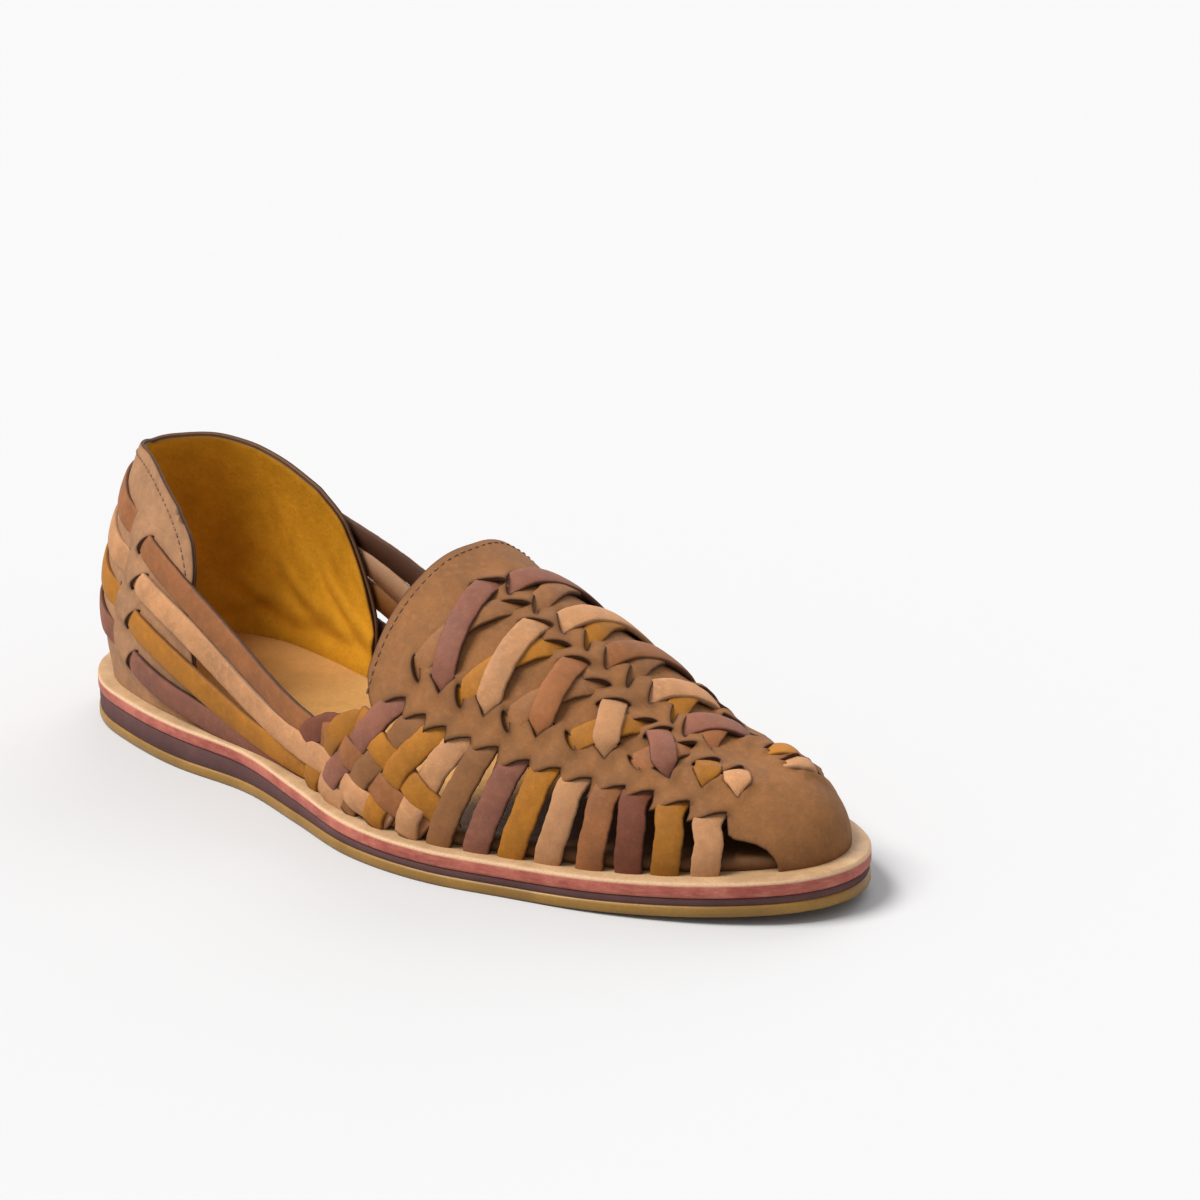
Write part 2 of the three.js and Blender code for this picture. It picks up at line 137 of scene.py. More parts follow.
def last_point(p, q):
    """Forefoot: p is the station (0 heel to pi toe), q runs from the outer feather line
    (-1) over the crest (0) to the inner one (1)."""
    x = TIP / 2 * (1 - np.cos(p))
    turn = np.interp(x, STATIONS, TURNS)
    turn = np.where(q < 0, turn, 2 * math.pi - turn)
    fx, fy = rim(turn, flange(edge(turn)[0]))
    rise = (1 - np.abs(q)) * math.pi / 2
    pull = np.clip((x - SPRING_FROM) / (LENGTH - 6 - SPRING_FROM), 0, 2)
    rx, ry = x - RIDGE_PULL * pull ** 2, crest_y(x)
    lean = np.where(q > 0, ease((x - SLIM[0]) / 28) * (1 - ease((x - SLIM[1]) / 28)), 0)
    c = np.maximum(np.cos(rise), 0) ** (2 / (crest_wide(x) - SLIM[2] * lean))
    s = np.maximum(np.sin(rise), 0) ** (2 / (crest_tall(x) - SLIM[3] * lean))
    px = rx + (fx - rx) * c * ease(c / 0.5)
    return np.stack([px, ry + (fy - ry) * c, seat(x) + LIFT + crest_h(x) * s], -1)


def unit(v):
    return v / np.maximum(np.linalg.norm(v, axis=-1, keepdims=True), 1e-9)


def last_slopes(p, q):
    p = np.clip(p, 0.3, math.pi - 0.03)
    q = np.clip(q, -0.994, 0.994)
    d = 0.004
    return ((last_point(p + d, q) - last_point(p - d, q)) / (2 * d),
            (last_point(p, q + d) - last_point(p, q - d)) / (2 * d))


def last_normal(p, q):
    p, q = np.broadcast_arrays(np.asarray(p, float), np.asarray(q, float))
    here = unit(np.cross(*last_slopes(p, q)))
    there = unit(np.cross(*last_slopes(p, -q)))
    share = 0.5 * ease((p - math.pi + 0.12) / 0.12)[..., None]
    return unit(here * (1 - share) + there * share)


def last(p, q, out=0.0):
    return last_point(p, q) + last_normal(p, q) * np.asarray(out)[..., None]


def station(x):
    return np.arccos(1 - 2 * np.clip(x, 0, TIP) / TIP)


def spot(x, a, side):
    """Station and angle up the arch, on the outer (-1) or inner (1) side."""
    return np.stack([station(np.asarray(x, float)), side * (1 - np.asarray(a, float) * 2 / math.pi)], -1)


def wall(turn, h, out=0.0):
    """Heel wall: a turn round the heel and a height over the seat."""
    x, _ = edge(turn)
    lean = mix(lean_back(h), lean_side(h), ease((x - 8) / 45))
    px, py = rim(turn, flange(x) + lean - out)
    return np.stack(np.broadcast_arrays(px, py, seat(x) + LIFT + h), -1)


def wall_normal(turn, h):
    return unit(np.cross(wall(turn + 0.01, h) - wall(turn - 0.01, h), wall(turn, h + 1) - wall(turn, h - 1)))


def to_row(points):
    """Millimetres from the heel to the row's frame in metres."""
    return (np.asarray(points) - [LENGTH / 2, MIDDLE, 0]) / 1000


# ---- camera, lights, floor
scene = bpy.context.scene
VIEW = Matrix(((0.74138, -0.20112, 0.64024), (0.67105, 0.23201, -0.70418), (-0.00692, 0.95169, 0.30697)))


def aim_camera():
    data = bpy.data.cameras.new("camera")
    data.lens, data.sensor_width = 100.81, 36
    data.clip_start, data.clip_end = 0.01, 20
    camera = bpy.data.objects.new("camera", data)
    scene.collection.objects.link(camera)
    camera.matrix_world = Matrix.Translation((0.661553, -0.657672, 0.36058)) @ VIEW.to_4x4()
    scene.camera = camera


def sunlight(name, way, strength, soft, colour=(1, 1, 1)):
    """Broad even light from a direction."""
    data = bpy.data.lights.new(name, "SUN")
    data.energy, data.angle, data.color = strength, math.radians(soft), colour
    lamp = bpy.data.objects.new(name, data)
    scene.collection.objects.link(lamp)
    lamp.matrix_world = Vector(way).to_track_quat("Z", "Y").to_matrix().to_4x4()


def studio():
    scene.view_settings.view_transform = "Standard"
    world = bpy.data.worlds.new("studio")
    world.use_nodes = True
    scene.world = world
    back = world.node_tree.nodes["Background"]
    back.inputs["Color"].default_value = (0.97, 0.98, 1.0, 1)
    back.inputs["Strength"].default_value = 0.6
    sunlight("key", (-0.36, -0.45, 0.85), 4.3, 30, (1, 0.985, 0.96))
    sunlight("back", (-0.3, 0.75, 0.55), 1.1, 50)
    shader, _ = new_material("floor")
    shader.inputs["Base Color"].default_value = (0.50, 0.50, 0.505, 1)
    shader.inputs["Roughness"].default_value = 0.9
    shader.inputs["Specular IOR Level"].default_value = 0.0
    mesh = bpy.data.meshes.new("floor")
    r = 6.0
    mesh.from_pydata([(-r, -r, 0), (r, -r, 0), (r, r, 0), (-r, r, 0)], [], [(0, 1, 2, 3)])
    floor = bpy.data.objects.new("floor", mesh)
    scene.collection.objects.link(floor)
    mesh.materials.append(bpy.data.materials["floor"])


# ---- materials
def new_material(name):
    mat = bpy.data.materials.new(name)
    mat.use_nodes = True
    tree = mat.node_tree
    return tree.nodes["Principled BSDF"], tree


def node(tree, kind, **values):
    made = tree.nodes.new(kind)
    for key, value in values.items():
        if key.startswith("in_"):
            made.inputs[int(key[3:])].default_value = value
        else:
            setattr(made, key, value)
    return made


def noise(tree, coord, scale, detail=3.0, rough=0.55, stretch=None):
    source = coord
    if stretch:
        turn = node(tree, "ShaderNodeMapping")
        turn.inputs["Scale"].default_value = stretch
        tree.links.new(coord, turn.inputs["Vector"])
        source = turn.outputs["Vector"]
    made = node(tree, "ShaderNodeTexNoise")
    made.inputs["Scale"].default_value = scale
    made.inputs["Detail"].default_value = detail
    made.inputs["Roughness"].default_value = rough
    tree.links.new(source, made.inputs["Vector"])
    return made.outputs["Fac"]


def spread(tree, value, low, high, to_low=0.0, to_high=1.0):
    made = node(tree, "ShaderNodeMapRange")
    for key, number in (("From Min", low), ("From Max", high), ("To Min", to_low), ("To Max", to_high)):
        made.inputs[key].default_value = number
    tree.links.new(value, made.inputs["Value"])
    return made.outputs["Result"]


def blend(tree, share, first, second):
    made = node(tree, "ShaderNodeMix", data_type="RGBA")
    tree.links.new(share, made.inputs["Factor"])
    for value, key in ((first, 6), (second, 7)):
        if isinstance(value, tuple):
            made.inputs[key].default_value = (*value, 1)
        else:
            tree.links.new(value, made.inputs[key])
    return made.outputs[2]


def channel(tree, name):
    return node(tree, "ShaderNodeAttribute", attribute_name=name).outputs["Fac"]


def bump(tree, shader, heights):
    """Layers of relief: (height, strength, distance in metres)."""
    before = None
    for value, strength, reach in heights:
        made = node(tree, "ShaderNodeBump")
        made.inputs["Strength"].default_value = strength
        made.inputs["Distance"].default_value = reach
        tree.links.new(value, made.inputs["Height"])
        if before:
            tree.links.new(before, made.inputs["Normal"])
        before = made.outputs["Normal"]
    tree.links.new(before, shader.inputs["Normal"])


def shade(colour, factor):
    return tuple(c * factor for c in colour)


def leather(name, colour, cut, rough=0.72, nap=0.5, marks=0.18, grain=1500):
    """Dyed leather with cloudy nap, fine grain, a cut edge of its own colour, and a tone channel that darkens
    or pales it, which in places is painted shade and painted highlight.
    """
    shader, tree = new_material(name)
    coord = node(tree, "ShaderNodeTexCoord").outputs["Object"]
    cloud = noise(tree, coord, 95, 4, 0.6)
    patch = noise(tree, coord, 420, 3, 0.6)
    pores = noise(tree, coord, grain, 2, 0.7)
    deep = shade(colour, 1 - marks * 1.7)
    pale = tuple(min(1, c * (1 + marks) + 0.004) for c in colour)
    base = blend(tree, spread(tree, cloud, 0.34, 0.66), deep, colour)
    base = blend(tree, spread(tree, patch, 0.48, 0.74, 0, nap), base, pale)
    base = blend(tree, spread(tree, pores, 0.3, 0.55, 0.35, 0), base, shade(colour, 0.6))
    # The tone channel is each piece's own random tone, and also painted shade on the side straps, braid,
    # vamp, counter and lining folds, and a painted highlight on the lining folds' ridges
    tone = channel(tree, "tone")
    base = blend(tree, spread(tree, tone, 0, 1, 0, 0.5), base, shade(colour, 0.5))
    base = blend(tree, spread(tree, tone, 0, -1, 0, 0.3), base, pale)
    base = blend(tree, channel(tree, "cut"), base, cut)
    tree.links.new(base, shader.inputs["Base Color"])
    tree.links.new(spread(tree, cloud, 0.3, 0.7, rough - 0.07, rough + 0.08), shader.inputs["Roughness"])
    shader.inputs["Specular IOR Level"].default_value = 0.22
    bump(tree, shader, [(pores, 0.35, 0.0002), (patch, 0.3, 0.0004)])
    return bpy.data.materials[name]


DARK_CUT = (0.02, 0.006, 0.003)
TANS = {
    "vamp": (0.25, 0.104, 0.034), "mauve": (0.225, 0.083, 0.05), "brown": (0.28, 0.102, 0.033),
    "ochre": (0.35, 0.13, 0.010), "pale": (0.47, 0.225, 0.098), "tan": (0.26, 0.108, 0.037),
    "red": (0.15, 0.043, 0.02), "counter": (0.33, 0.168, 0.082),
}
CUTS = {"vamp": DARK_CUT, "mauve": (0.05, 0.02, 0.013), "brown": (0.06, 0.024, 0.012),
        "ochre": (0.15, 0.055, 0.01), "pale": (0.30, 0.165, 0.09), "tan": (0.08, 0.035, 0.016),
        "red": (0.04, 0.013, 0.007), "counter": DARK_CUT}


# ---- meshes
def piece(name, points, faces, material, channels=None, smooth=True):
    mesh = bpy.data.meshes.new(name)
    mesh.from_pydata(to_row(points).tolist(), [], faces)
    for key, values in (channels or {}).items():
        layer = mesh.attributes.new(key, "FLOAT", "POINT")
        layer.data.foreach_set("value", np.asarray(values, np.float32))
    mesh.polygons.foreach_set("use_smooth", [smooth] * len(mesh.polygons))
    mesh.materials.append(material)
    mesh.update()
    made = bpy.data.objects.new(name, mesh)
    scene.collection.objects.link(made)
    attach(made, "root")
    return made


class Pile:
    """Gathers many small closed shapes into one piece."""

    def __init__(self):
        self.points, self.faces, self.cut, self.tone, self.count = [], [], [], [], 0

    def add(self, points, faces, cut, tone=0.0):
        self.faces += [tuple(k + self.count for k in face) for face in faces]
        self.points.append(points)
        self.cut.append(cut)
        self.tone.append(np.full(len(points), tone))
        self.count += len(points)

    def make(self, name, material, slot):
        return piece(name, np.concatenate(self.points), self.faces, material,
                     {"cut": np.concatenate(self.cut), "tone": np.concatenate(self.tone)})


# ---- straps
STRAP_STEP = 0.9


def run_along(points):
    """Length along a path at each of its points."""
    return np.concatenate([[0], np.cumsum(np.linalg.norm(np.diff(points, axis=0), axis=1))])


def resample(points, normals, outs):
    """Even steps along a path of surface points, with its offsets eased."""
    gaps = np.linalg.norm(np.diff(points, axis=0), axis=1)
    run = np.concatenate([[0], np.cumsum(gaps)])
    keep = np.concatenate([[True], gaps > 1e-6])
    run, points, normals, outs = run[keep], points[keep], normals[keep], outs[keep]
    count = max(6, int(round(run[-1] / STRAP_STEP)))
    at = np.linspace(0, run[-1], count + 1)
    lay = lambda rows: np.stack([np.interp(at, run, rows[:, k]) for k in range(3)], -1)
    kernel = np.array([1, 2, 3, 2, 1]) / 9
    flat = np.interp(at, run, outs)
    flat = np.convolve(np.pad(flat, 2, mode="edge"), kernel, mode="valid")
    return lay(points), unit(lay(normals)), flat, at


def trail(spots, outs):
    """Path on the forefoot through (p, q) spots, curved, with an offset at each."""
    spots = np.asarray(spots, float)
    reach = run_along(last_point(spots[:, 0], spots[:, 1]))
    fine = np.linspace(0, reach[-1], 60)
    p = curve(list(zip(reach, spots[:, 0])))(fine)
    q = curve(list(zip(reach, spots[:, 1])))(fine)
    return last_point(p, q), last_normal(p, q), np.interp(fine, reach, outs)


def settle(path):
    """The path's top line, smoothed a little."""
    points, normals, outs, at = path
    laid = points + normals * outs[:, None]
    for _ in range(2):
        laid[1:-1] = (laid[:-2] + 2 * laid[1:-1] + laid[2:]) / 4
    return laid


POINT_FROM, POINT_LENGTH, POINT_WIDTH = 3.6, 4.8, 0.06  # a pointed end: start, length, least share
STRAP_SECTION = [  # share of the half width, height share, cut edge
    (-1, 0.42, 1), (-1, 0.74, 0.75), (-0.96, 0.93, 0.25), (-0.86, 1.0, 0), (-0.45, 1.0, 0),
    (0, 1.0, 0), (0.45, 1.0, 0), (0.86, 1.0, 0), (0.96, 0.93, 0.25), (1, 0.74, 0.75),
    (1, 0.42, 1), (0.95, 0.0, 1), (0, 0, 1), (-0.95, 0.0, 1)]


def strap(pile, path, width, thick, tone, wave, seed, crown=0.35, pointed=False):
    """Flat leather strap.  The path's offset is its top face, crown is how much fuller its
    middle is, and wave is how uneven its edges are."""
    points, normals, outs, at = path
    laid = settle(path)
    along = unit(np.gradient(laid, axis=0))
    across = unit(np.cross(normals, along))
    up = unit(np.cross(along, across))
    whole = np.full(len(at), width / 2)
    if pointed:
        whole = width / 2 * np.clip((at - POINT_FROM) / POINT_LENGTH, POINT_WIDTH, 1)
    left = whole * (1 + wave * np.sin(at * 0.9 + seed * 1.7) + wave * 0.6 * np.sin(at * 2.3 + seed))
    right = whole * (1 + wave * np.sin(at * 0.7 + seed * 2.9) + wave * 0.6 * np.sin(at * 1.9 + seed))
    rings = []
    for s, h, _ in STRAP_SECTION:
        half = np.where(s < 0, left, right)
        lift = (h - 1) * thick + (crown * (1 - s * s) if h > 0.5 else 0)
        rings.append(laid + across * (s * half)[:, None] + up * lift)
    n, m = len(at), len(STRAP_SECTION)
    grid = np.stack(rings, 1).reshape(-1, 3)
    faces = [(i * m + j, i * m + (j + 1) % m, (i + 1) * m + (j + 1) % m, (i + 1) * m + j)
             for i in range(n - 1) for j in range(m)]
    faces += [tuple(range(m - 1, -1, -1)), tuple((n - 1) * m + j for j in range(m))]
    cut = np.tile([c for _, _, c in STRAP_SECTION], n).astype(float)
    cut[:m] = 1
    cut[-m:] = 1
    pile.add(grid, [face[::-1] for face in faces], cut, tone)


# ---- pattern pieces cut flat, with holes, and laid on the last
def dense(outline, step):
    """Points along a closed or open outline, no further apart than the step."""
    made = []
    for a, b in zip(outline[:-1], outline[1:]):
        a, b = np.asarray(a, float), np.asarray(b, float)
        count = max(1, int(math.ceil(np.linalg.norm(b - a) / step)))
        made += [a + (b - a) * k / count for k in range(count)]
    return made + [np.asarray(outline[-1], float)]


def inside(points, ring):
    """Which points lie in a closed ring."""
    x, y = points[:, 0], points[:, 1]
    found = np.zeros(len(points), bool)
    for (ax, ay), (bx, by) in zip(ring, np.roll(ring, -1, axis=0)):
        if ay != by:
            found ^= ((ay > y) != (by > y)) & (x < (bx - ax) * (y - ay) / (by - ay) + ax)
    return found


def ring_distance(points, rings):
    best = np.full(len(points), 1e9)
    for ring in rings:
        for a, b in zip(ring, np.roll(ring, -1, axis=0)):
            d = b - a
            t = np.clip(((points - a) @ d) / max(d @ d, 1e-12), 0, 1)
            best = np.minimum(best, np.linalg.norm(points - a - t[:, None] * d, axis=1))
    return best


def cut_pattern(outer, holes, pitch, edge_rows=((0.45, 0.35), (1.1, 0.75))):
    """Triangles of a flat pattern piece: its outline, its holes and a grid between."""
    rings = [np.asarray(outer)] + [np.asarray(hole) for hole in holes]
    low, high = rings[0].min(0), rings[0].max(0)
    columns = np.arange(low[0], high[0], pitch)
    rows = np.arange(low[1], high[1], pitch * 0.87)
    grid = np.array([(x + (pitch / 2 if j % 2 else 0), y) for j, y in enumerate(rows) for x in columns])

    def clear(points, near):
        keep = inside(points, rings[0]) & (ring_distance(points, rings) > near)
        for hole in rings[1:]:
            keep &= ~inside(points, hole)
        return points[keep]

    extra = []
    for reach, near in edge_rows:
        for k, ring in enumerate(rings):
            way = np.roll(ring, -1, axis=0) - np.roll(ring, 1, axis=0)
            normal = unit(np.stack([way[:, 1], -way[:, 0]], -1))
            turn = np.sum(ring[:, 0] * np.roll(ring[:, 1], -1) - ring[:, 1] * np.roll(ring[:, 0], -1))
            sign = np.sign(turn) * (-1 if k == 0 else 1)
            extra.append(clear(ring + normal * sign * reach, near * reach + 0.1))
    grid = clear(grid, pitch * 0.72 + 0.3)
    points = np.concatenate(rings + extra + [grid])
    borders, start = [], 0
    for ring in rings:
        borders += [(start + k, start + (k + 1) % len(ring)) for k in range(len(ring))]
        start += len(ring)
    verts, _, faces, *_ = delaunay_2d_cdt([Vector(p) for p in points], borders, [], 0, 1e-5)
    verts = np.array([tuple(v) for v in verts])
    tris = np.array([tuple(face) for face in faces])
    centres = verts[tris].mean(1)
    keep = inside(centres, rings[0])
    for hole in rings[1:]:
        keep &= ~inside(centres, hole)
    tris = tris[keep]
    a, b, c = verts[tris[:, 0]], verts[tris[:, 1]], verts[tris[:, 2]]
    area = (b[:, 0] - a[:, 0]) * (c[:, 1] - a[:, 1]) - (b[:, 1] - a[:, 1]) * (c[:, 0] - a[:, 0])
    tris[area < 0] = tris[area < 0][:, ::-1]
    tris = tris[np.abs(area) > 1e-7]
    used = np.unique(tris)
    index = np.full(len(verts), -1)
    index[used] = np.arange(len(used))
    return verts[used], index[tris], ring_distance(verts[used], rings)


def sheet(name, flat, tris, outer, inner, material, channels, seam=None, flip=False):
    """Closed leather sheet from a flat pattern: two faces and the cut edge between."""
    n = len(flat)
    points = np.concatenate([outer, inner])
    sides = {}
    for a, b, c in tris:
        for e in ((a, b), (b, c), (c, a)):
            sides[e] = sides.get(e, 0) + 1
    faces = [tuple(t) for t in tris] + [(c + n, b + n, a + n) for a, b, c in tris]
    for a, b in sides:
        if (b, a) not in sides and not (seam is not None and seam[a] and seam[b]):
            faces.append((b, a, a + n, b + n))
    if flip:
        faces = [face[::-1] for face in faces]
    doubled = {key: np.concatenate([values, values_in]) for key, (values, values_in) in channels.items()}
    made = piece(name, points, faces, material, doubled)
    if seam is not None:
        weld(made)
    return made


def weld(made):
    """Joins the two halves of a sheet along its seam."""
    mesh = bmesh.new()
    mesh.from_mesh(made.data)
    bmesh.ops.remove_doubles(mesh, verts=mesh.verts, dist=2e-5)
    mesh.to_mesh(made.data)
    mesh.free()
    made.data.update()


# ---- the vamp: its lacing plan
KP, KQ = 115.0, 62.0  # millimetres to a radian of station, and from crest to feather line

# notches in the vamp's lower edge over the side straps: the tip's station and angle
NOTCHES = [(174.2, 0.589), (182.5, 0.566), (189.6, 0.558), (197.2, 0.560), (205.3, 0.576), (214.5, 0.579),
           (223.3, 0.618), (232.1, 0.645), (241.5, 0.684), (249.2, 0.717), (259.3, 0.702), (269.0, 0.643)]

# crossed lacing, outer column: long strap's slit (rear, front) and tip, then the cross
# strap's low slit (top, tip) and high slit (rear, tip); all as station and angle
LACED = [
    ((173.5, 1.305), (179.3, 1.437), (184.2, 0.705), (172.0, 0.797), (176.4, 0.699), (183.3, 1.305),
     (188.9, 1.428)),
    ((191.8, 1.302), (197.8, 1.399), (198.6, 0.710), (188.8, 0.783), (191.5, 0.693), (200.1, 1.265),
     (205.3, 1.374)),
    ((207.3, 1.245), (212.3, 1.358), (213.8, 0.741), (203.3, 0.775), (206.3, 0.690), (215.2, 1.210),
     (220.6, 1.346)),
    ((222.7, 1.167), (228.8, 1.311), (233.0, 0.835), (220.5, 0.860), (224.4, 0.785), (232.8, 1.169),
     (238.6, 1.327)),
    ((239.3, 1.158), (244.1, 1.352), (251.9, 0.885), (238.8, 0.930), (243.0, 0.860), (249.2, 1.218),
     (255.4, 1.326)),
]
SINGLES = {-1: [((257.6, 1.106), (266.5, 1.260), (261.8, 0.880)),
                ((267.6, 1.085), (276.0, 1.235), (272.0, 0.840))],
           1: [((266.0, 1.13), (273.0, 1.27), (270.5, 0.90)), ((275.0, 1.06), (281.0, 1.20), (279.0, 0.83))]}
LONG_COLOURS = ["mauve", "pale", "brown", "pale", "mauve"]
CROSS_COLOURS = ["tan", "ochre", "tan", "ochre", "brown"]
SINGLE_COLOURS = ["ochre", "pale"]
LONG_WIDTH, CROSS_WIDTH = 7.4, 7.0
NOTCH_DEEP, NOTCH_HALF = 4.6, 3.5  # a pointed end's hole: its length and half its width
VAMP_THICK = 1.7
EYE_TURNS = [(math.sin(math.pi * k / 9), math.cos(math.pi * k / 9)) for k in range(18)]  # round a slit
arch_length = curve([(160, 74), (172, 71), (188, 69), (205, 64), (220, 58), (232, 54), (245, 51), (262, 47),
                     (286, 42)])


def across_shoe(x, a):
    """Inner column: the outer one turned over a line 6 mm outside the crest and set forward."""
    x = x + float(np.interp(x, [170, 235, 250, 270], [3.4, 3.4, 7, 9]))
    length = arch_length(x)
    v = (1 - a * 2 / math.pi) * length
    moved = v - 12 * np.clip((38 - v) / 24, 0, 1.1)
    return np.array([station(x), moved / length])


def lace_spot(x, a, side):
    return spot(x, a, -1) if side < 0 else across_shoe(x, a)


def local_axes(at, towards):
    """On the last at a spot: the direction to another spot, and the one across it."""
    dp, dq = last_slopes(at[0], at[1])
    way = towards - at
    along = unit(dp * way[0] + dq * way[1])
    normal = last_normal(at[0], at[1])
    return along, np.cross(normal, along), np.stack([dp, dq], -1)


def shift(at, jacobian, move):
    """Spot reached by a short move in space along the surface."""
    step, *_ = np.linalg.lstsq(jacobian, move, rcond=None)
    return at + step


def flat(at):
    """A spot on the vamp's flat pattern, in millimetres."""
    return np.asarray(at) * [KP, KQ]


def middle(pair):
    return (pair[0] + pair[1]) / 2


def lens(a, b, width, grow):
    """Slit between two spots: a slim eye, longer than their distance by twice `grow`."""
    centre = middle((a, b))
    along, across, jac = local_axes(centre, b)
    half = np.linalg.norm(last_point(*b) - last_point(*a)) / 2 + grow
    ring = []
    for s, c in EYE_TURNS:
        move = along * (half * c) + across * (width / 2 * math.copysign(abs(s) ** 1.2, s))
        ring.append(flat(shift(centre, jac, move)))
    return np.array(ring)


def notch(tip, towards):
    """V-shaped hole that a strap's pointed end goes down."""
    along, across, jac = local_axes(tip, towards)
    deep, half = NOTCH_DEEP, NOTCH_HALF
    edge_rows = [(deep * 0.5, half * 0.53), (deep, half + 0.3), (deep + 0.6, half * 0.55)]
    rows = [(-0.35, 0), *edge_rows, (deep + 0.7, 0), *((s, -t) for s, t in edge_rows[::-1])]
    rows = dense([np.array(r) for r in rows + rows[:1]], 0.9)[:-1]
    return np.array([flat(shift(tip, jac, along * s + across * t)) for s, t in rows])


def saw_edge(side):
    """The vamp's lower edge from collar to toe cap: a tooth between each two straps."""
    rows = [(157.7, 0.60), (160.2, 0.52), (163.4, 0.455), (166.6, 0.41)]
    for k, (x, a) in enumerate(NOTCHES):
        back = 6.2 if k < 5 else 5.9
        drop = (0.06, 0.06, 0.057, 0.056, 0.066, 0.086, 0.09, 0.095, 0.1, 0.098, 0.083, 0.08)[k]
        low = (0.135, 0.12, 0.115, 0.112, 0.13, 0.15, 0.15, 0.15, 0.15, 0.17, 0.186, 0.2)[k]
        rows += [(x - back, a - drop), (x - back * 0.45, a - drop * 0.25), (x + 0.1, a + 0.012)]
        rows += [(x + 0.5, a - low * 0.5), (x + 0.1, a - low)] if k < 11 else [(x + 0.4, a - 0.12)]
    rows += [(269.6, 0.42), (270.9, 0.372), (273.2, 0.352), (275.6, 0.318), (277.6, 0.25), (278.9, 0.15),
             (279.5, 0.06), (279.7, 0)]
    return [spot(x, a, side) for x, a in rows]


def vamp_outline():
    """Closed outline of the vamp on the flat: collar, outer edge, toe, inner edge."""
    outer = [flat(s) for s in saw_edge(-1)]
    inner = [flat(s) for s in saw_edge(1)]
    toe_p = np.linspace(station(279.7), math.pi, 30)
    toe_out = [np.array([p * KP, -KQ]) for p in toe_p[1:]]
    fold = np.linspace(-1, 1, 97)
    toe_seam = [np.array([math.pi * KP, q * KQ]) for q in fold[1:-1]]
    toe_in = [np.array([p * KP, KQ]) for p in toe_p[1:][::-1]]
    q_end = 1 - 0.60 * 2 / math.pi
    collar = []
    for q in np.linspace(q_end, -q_end, 70)[1:-1]:
        rise = ease((0.75 - abs(q)) / 0.5)
        collar.append(flat(np.array([station(157.4 + 2.2 * rise * (1 - abs(q) / 0.75)), q])))
    side = dense(outer, 0.8)
    other = dense(inner, 0.8)
    return np.array(side + toe_out + toe_seam + toe_in + other[::-1][1:] + dense(collar, 1.2))


def lacing():
    """Every crossed strap with the slits it uses."""
    plan = []
    for side in (-1, 1):
        for k, row in enumerate(LACED):
            s = [lace_spot(x, a, side) for x, a in row]
            plan.append({"kind": "cross", "side": side, "k": k, "low": (s[3], s[4]), "high": (s[5], s[6])})
            plan.append({"kind": "long", "side": side, "k": k, "slit": (s[0], s[1]), "tip": s[2]})
        for k, row in enumerate(SINGLES[side]):
            s = [spot(x, a, side) for x, a in row]
            plan.append({"kind": "single", "side": side, "k": k, "slit": (s[0], s[1]), "tip": s[2]})
    return plan


PLAN = lacing()


def swell(points, centre, along, across, height, reach=7.0, half=4.2, ramp=0.9):
    """Leather raised over the hidden end of a strap, past its slit."""
    rel = points - centre
    s = rel @ along
    t = rel @ across
    lift = ease((s + ramp) / ramp) * (1 - ease(s / reach))
    near = np.exp(-(rel * rel).sum(-1) / 400)
    return height * lift * np.exp(-(np.abs(t) / half) ** 3.2) * near


def facing(line, normal, way):
    """Direction across a slit's line, on the side that `way` points to."""
    face = unit(np.cross(line, normal))
    return face * np.sign(face @ way)


def vamp_lift(flat_points):
    """How far the vamp's outer face stands off the last."""
    p, q = flat_points[:, 0] / KP, flat_points[:, 1] / KQ
    base = last_point(p, q)
    lift = np.zeros(len(base))
    for item in PLAN:
        if item["kind"] == "cross":
            low, high = item["low"], item["high"]
            a, b = middle(low), middle(high)
            for pair, here, there in ((low, a, b), (high, b, a)):
                way = unit(last_point(*here) - last_point(*there))
                slit = unit(last_point(*pair[1]) - last_point(*pair[0]))
                face = facing(slit, last_normal(*here), way)
                lift += swell(base, last_point(*here), face, slit, 1.6, 6.5, 4.3)
        else:
            slit, tip = item["slit"], item["tip"]
            top = middle(slit)
            line = unit(last_point(*slit[1]) - last_point(*slit[0]))
            way = unit(last_point(*top) - last_point(*tip))
            face = facing(line, last_normal(*top), way)
            height = 2.0 if item["kind"] == "long" else 1.5
            lift += swell(base, last_point(*top), face, line, height, 7.0, 4.7)
            rel = base - last_point(*tip)
            s = rel @ way
            t = rel @ unit(np.cross(last_normal(*tip), way))
            gap = np.abs(t) - NOTCH_HALF * np.clip(s / NOTCH_DEEP, 0, 1)
            far = np.hypot(np.maximum(gap, 0), np.minimum(s, 0))
            lift += 1.15 * np.exp(-(far / 2.8) ** 2) * (1 - ease((s - 4) / 3)) * (np.abs(s) < 12)
    for side in (-1, 1):
        for x, a in NOTCHES:
            tip, low = spot(x, a, side), spot(x - 6, a - 0.08, side)
            over = spot(x + 1.5, a + 0.25, side)
            mid = middle((tip, low))
            line = unit(last_point(*tip) - last_point(*low))
            face = facing(line, last_normal(*mid), last_point(*over) - last_point(*mid))
            lift += swell(base, last_point(*mid), face, line, 1.5, 9, 4.4)
    wander = np.sin(base[:, 0] * 0.21 + base[:, 1] * 0.13) * np.sin(base[:, 1] * 0.19 - base[:, 2] * 0.11 + 1)
    return lift + 0.22 * wander


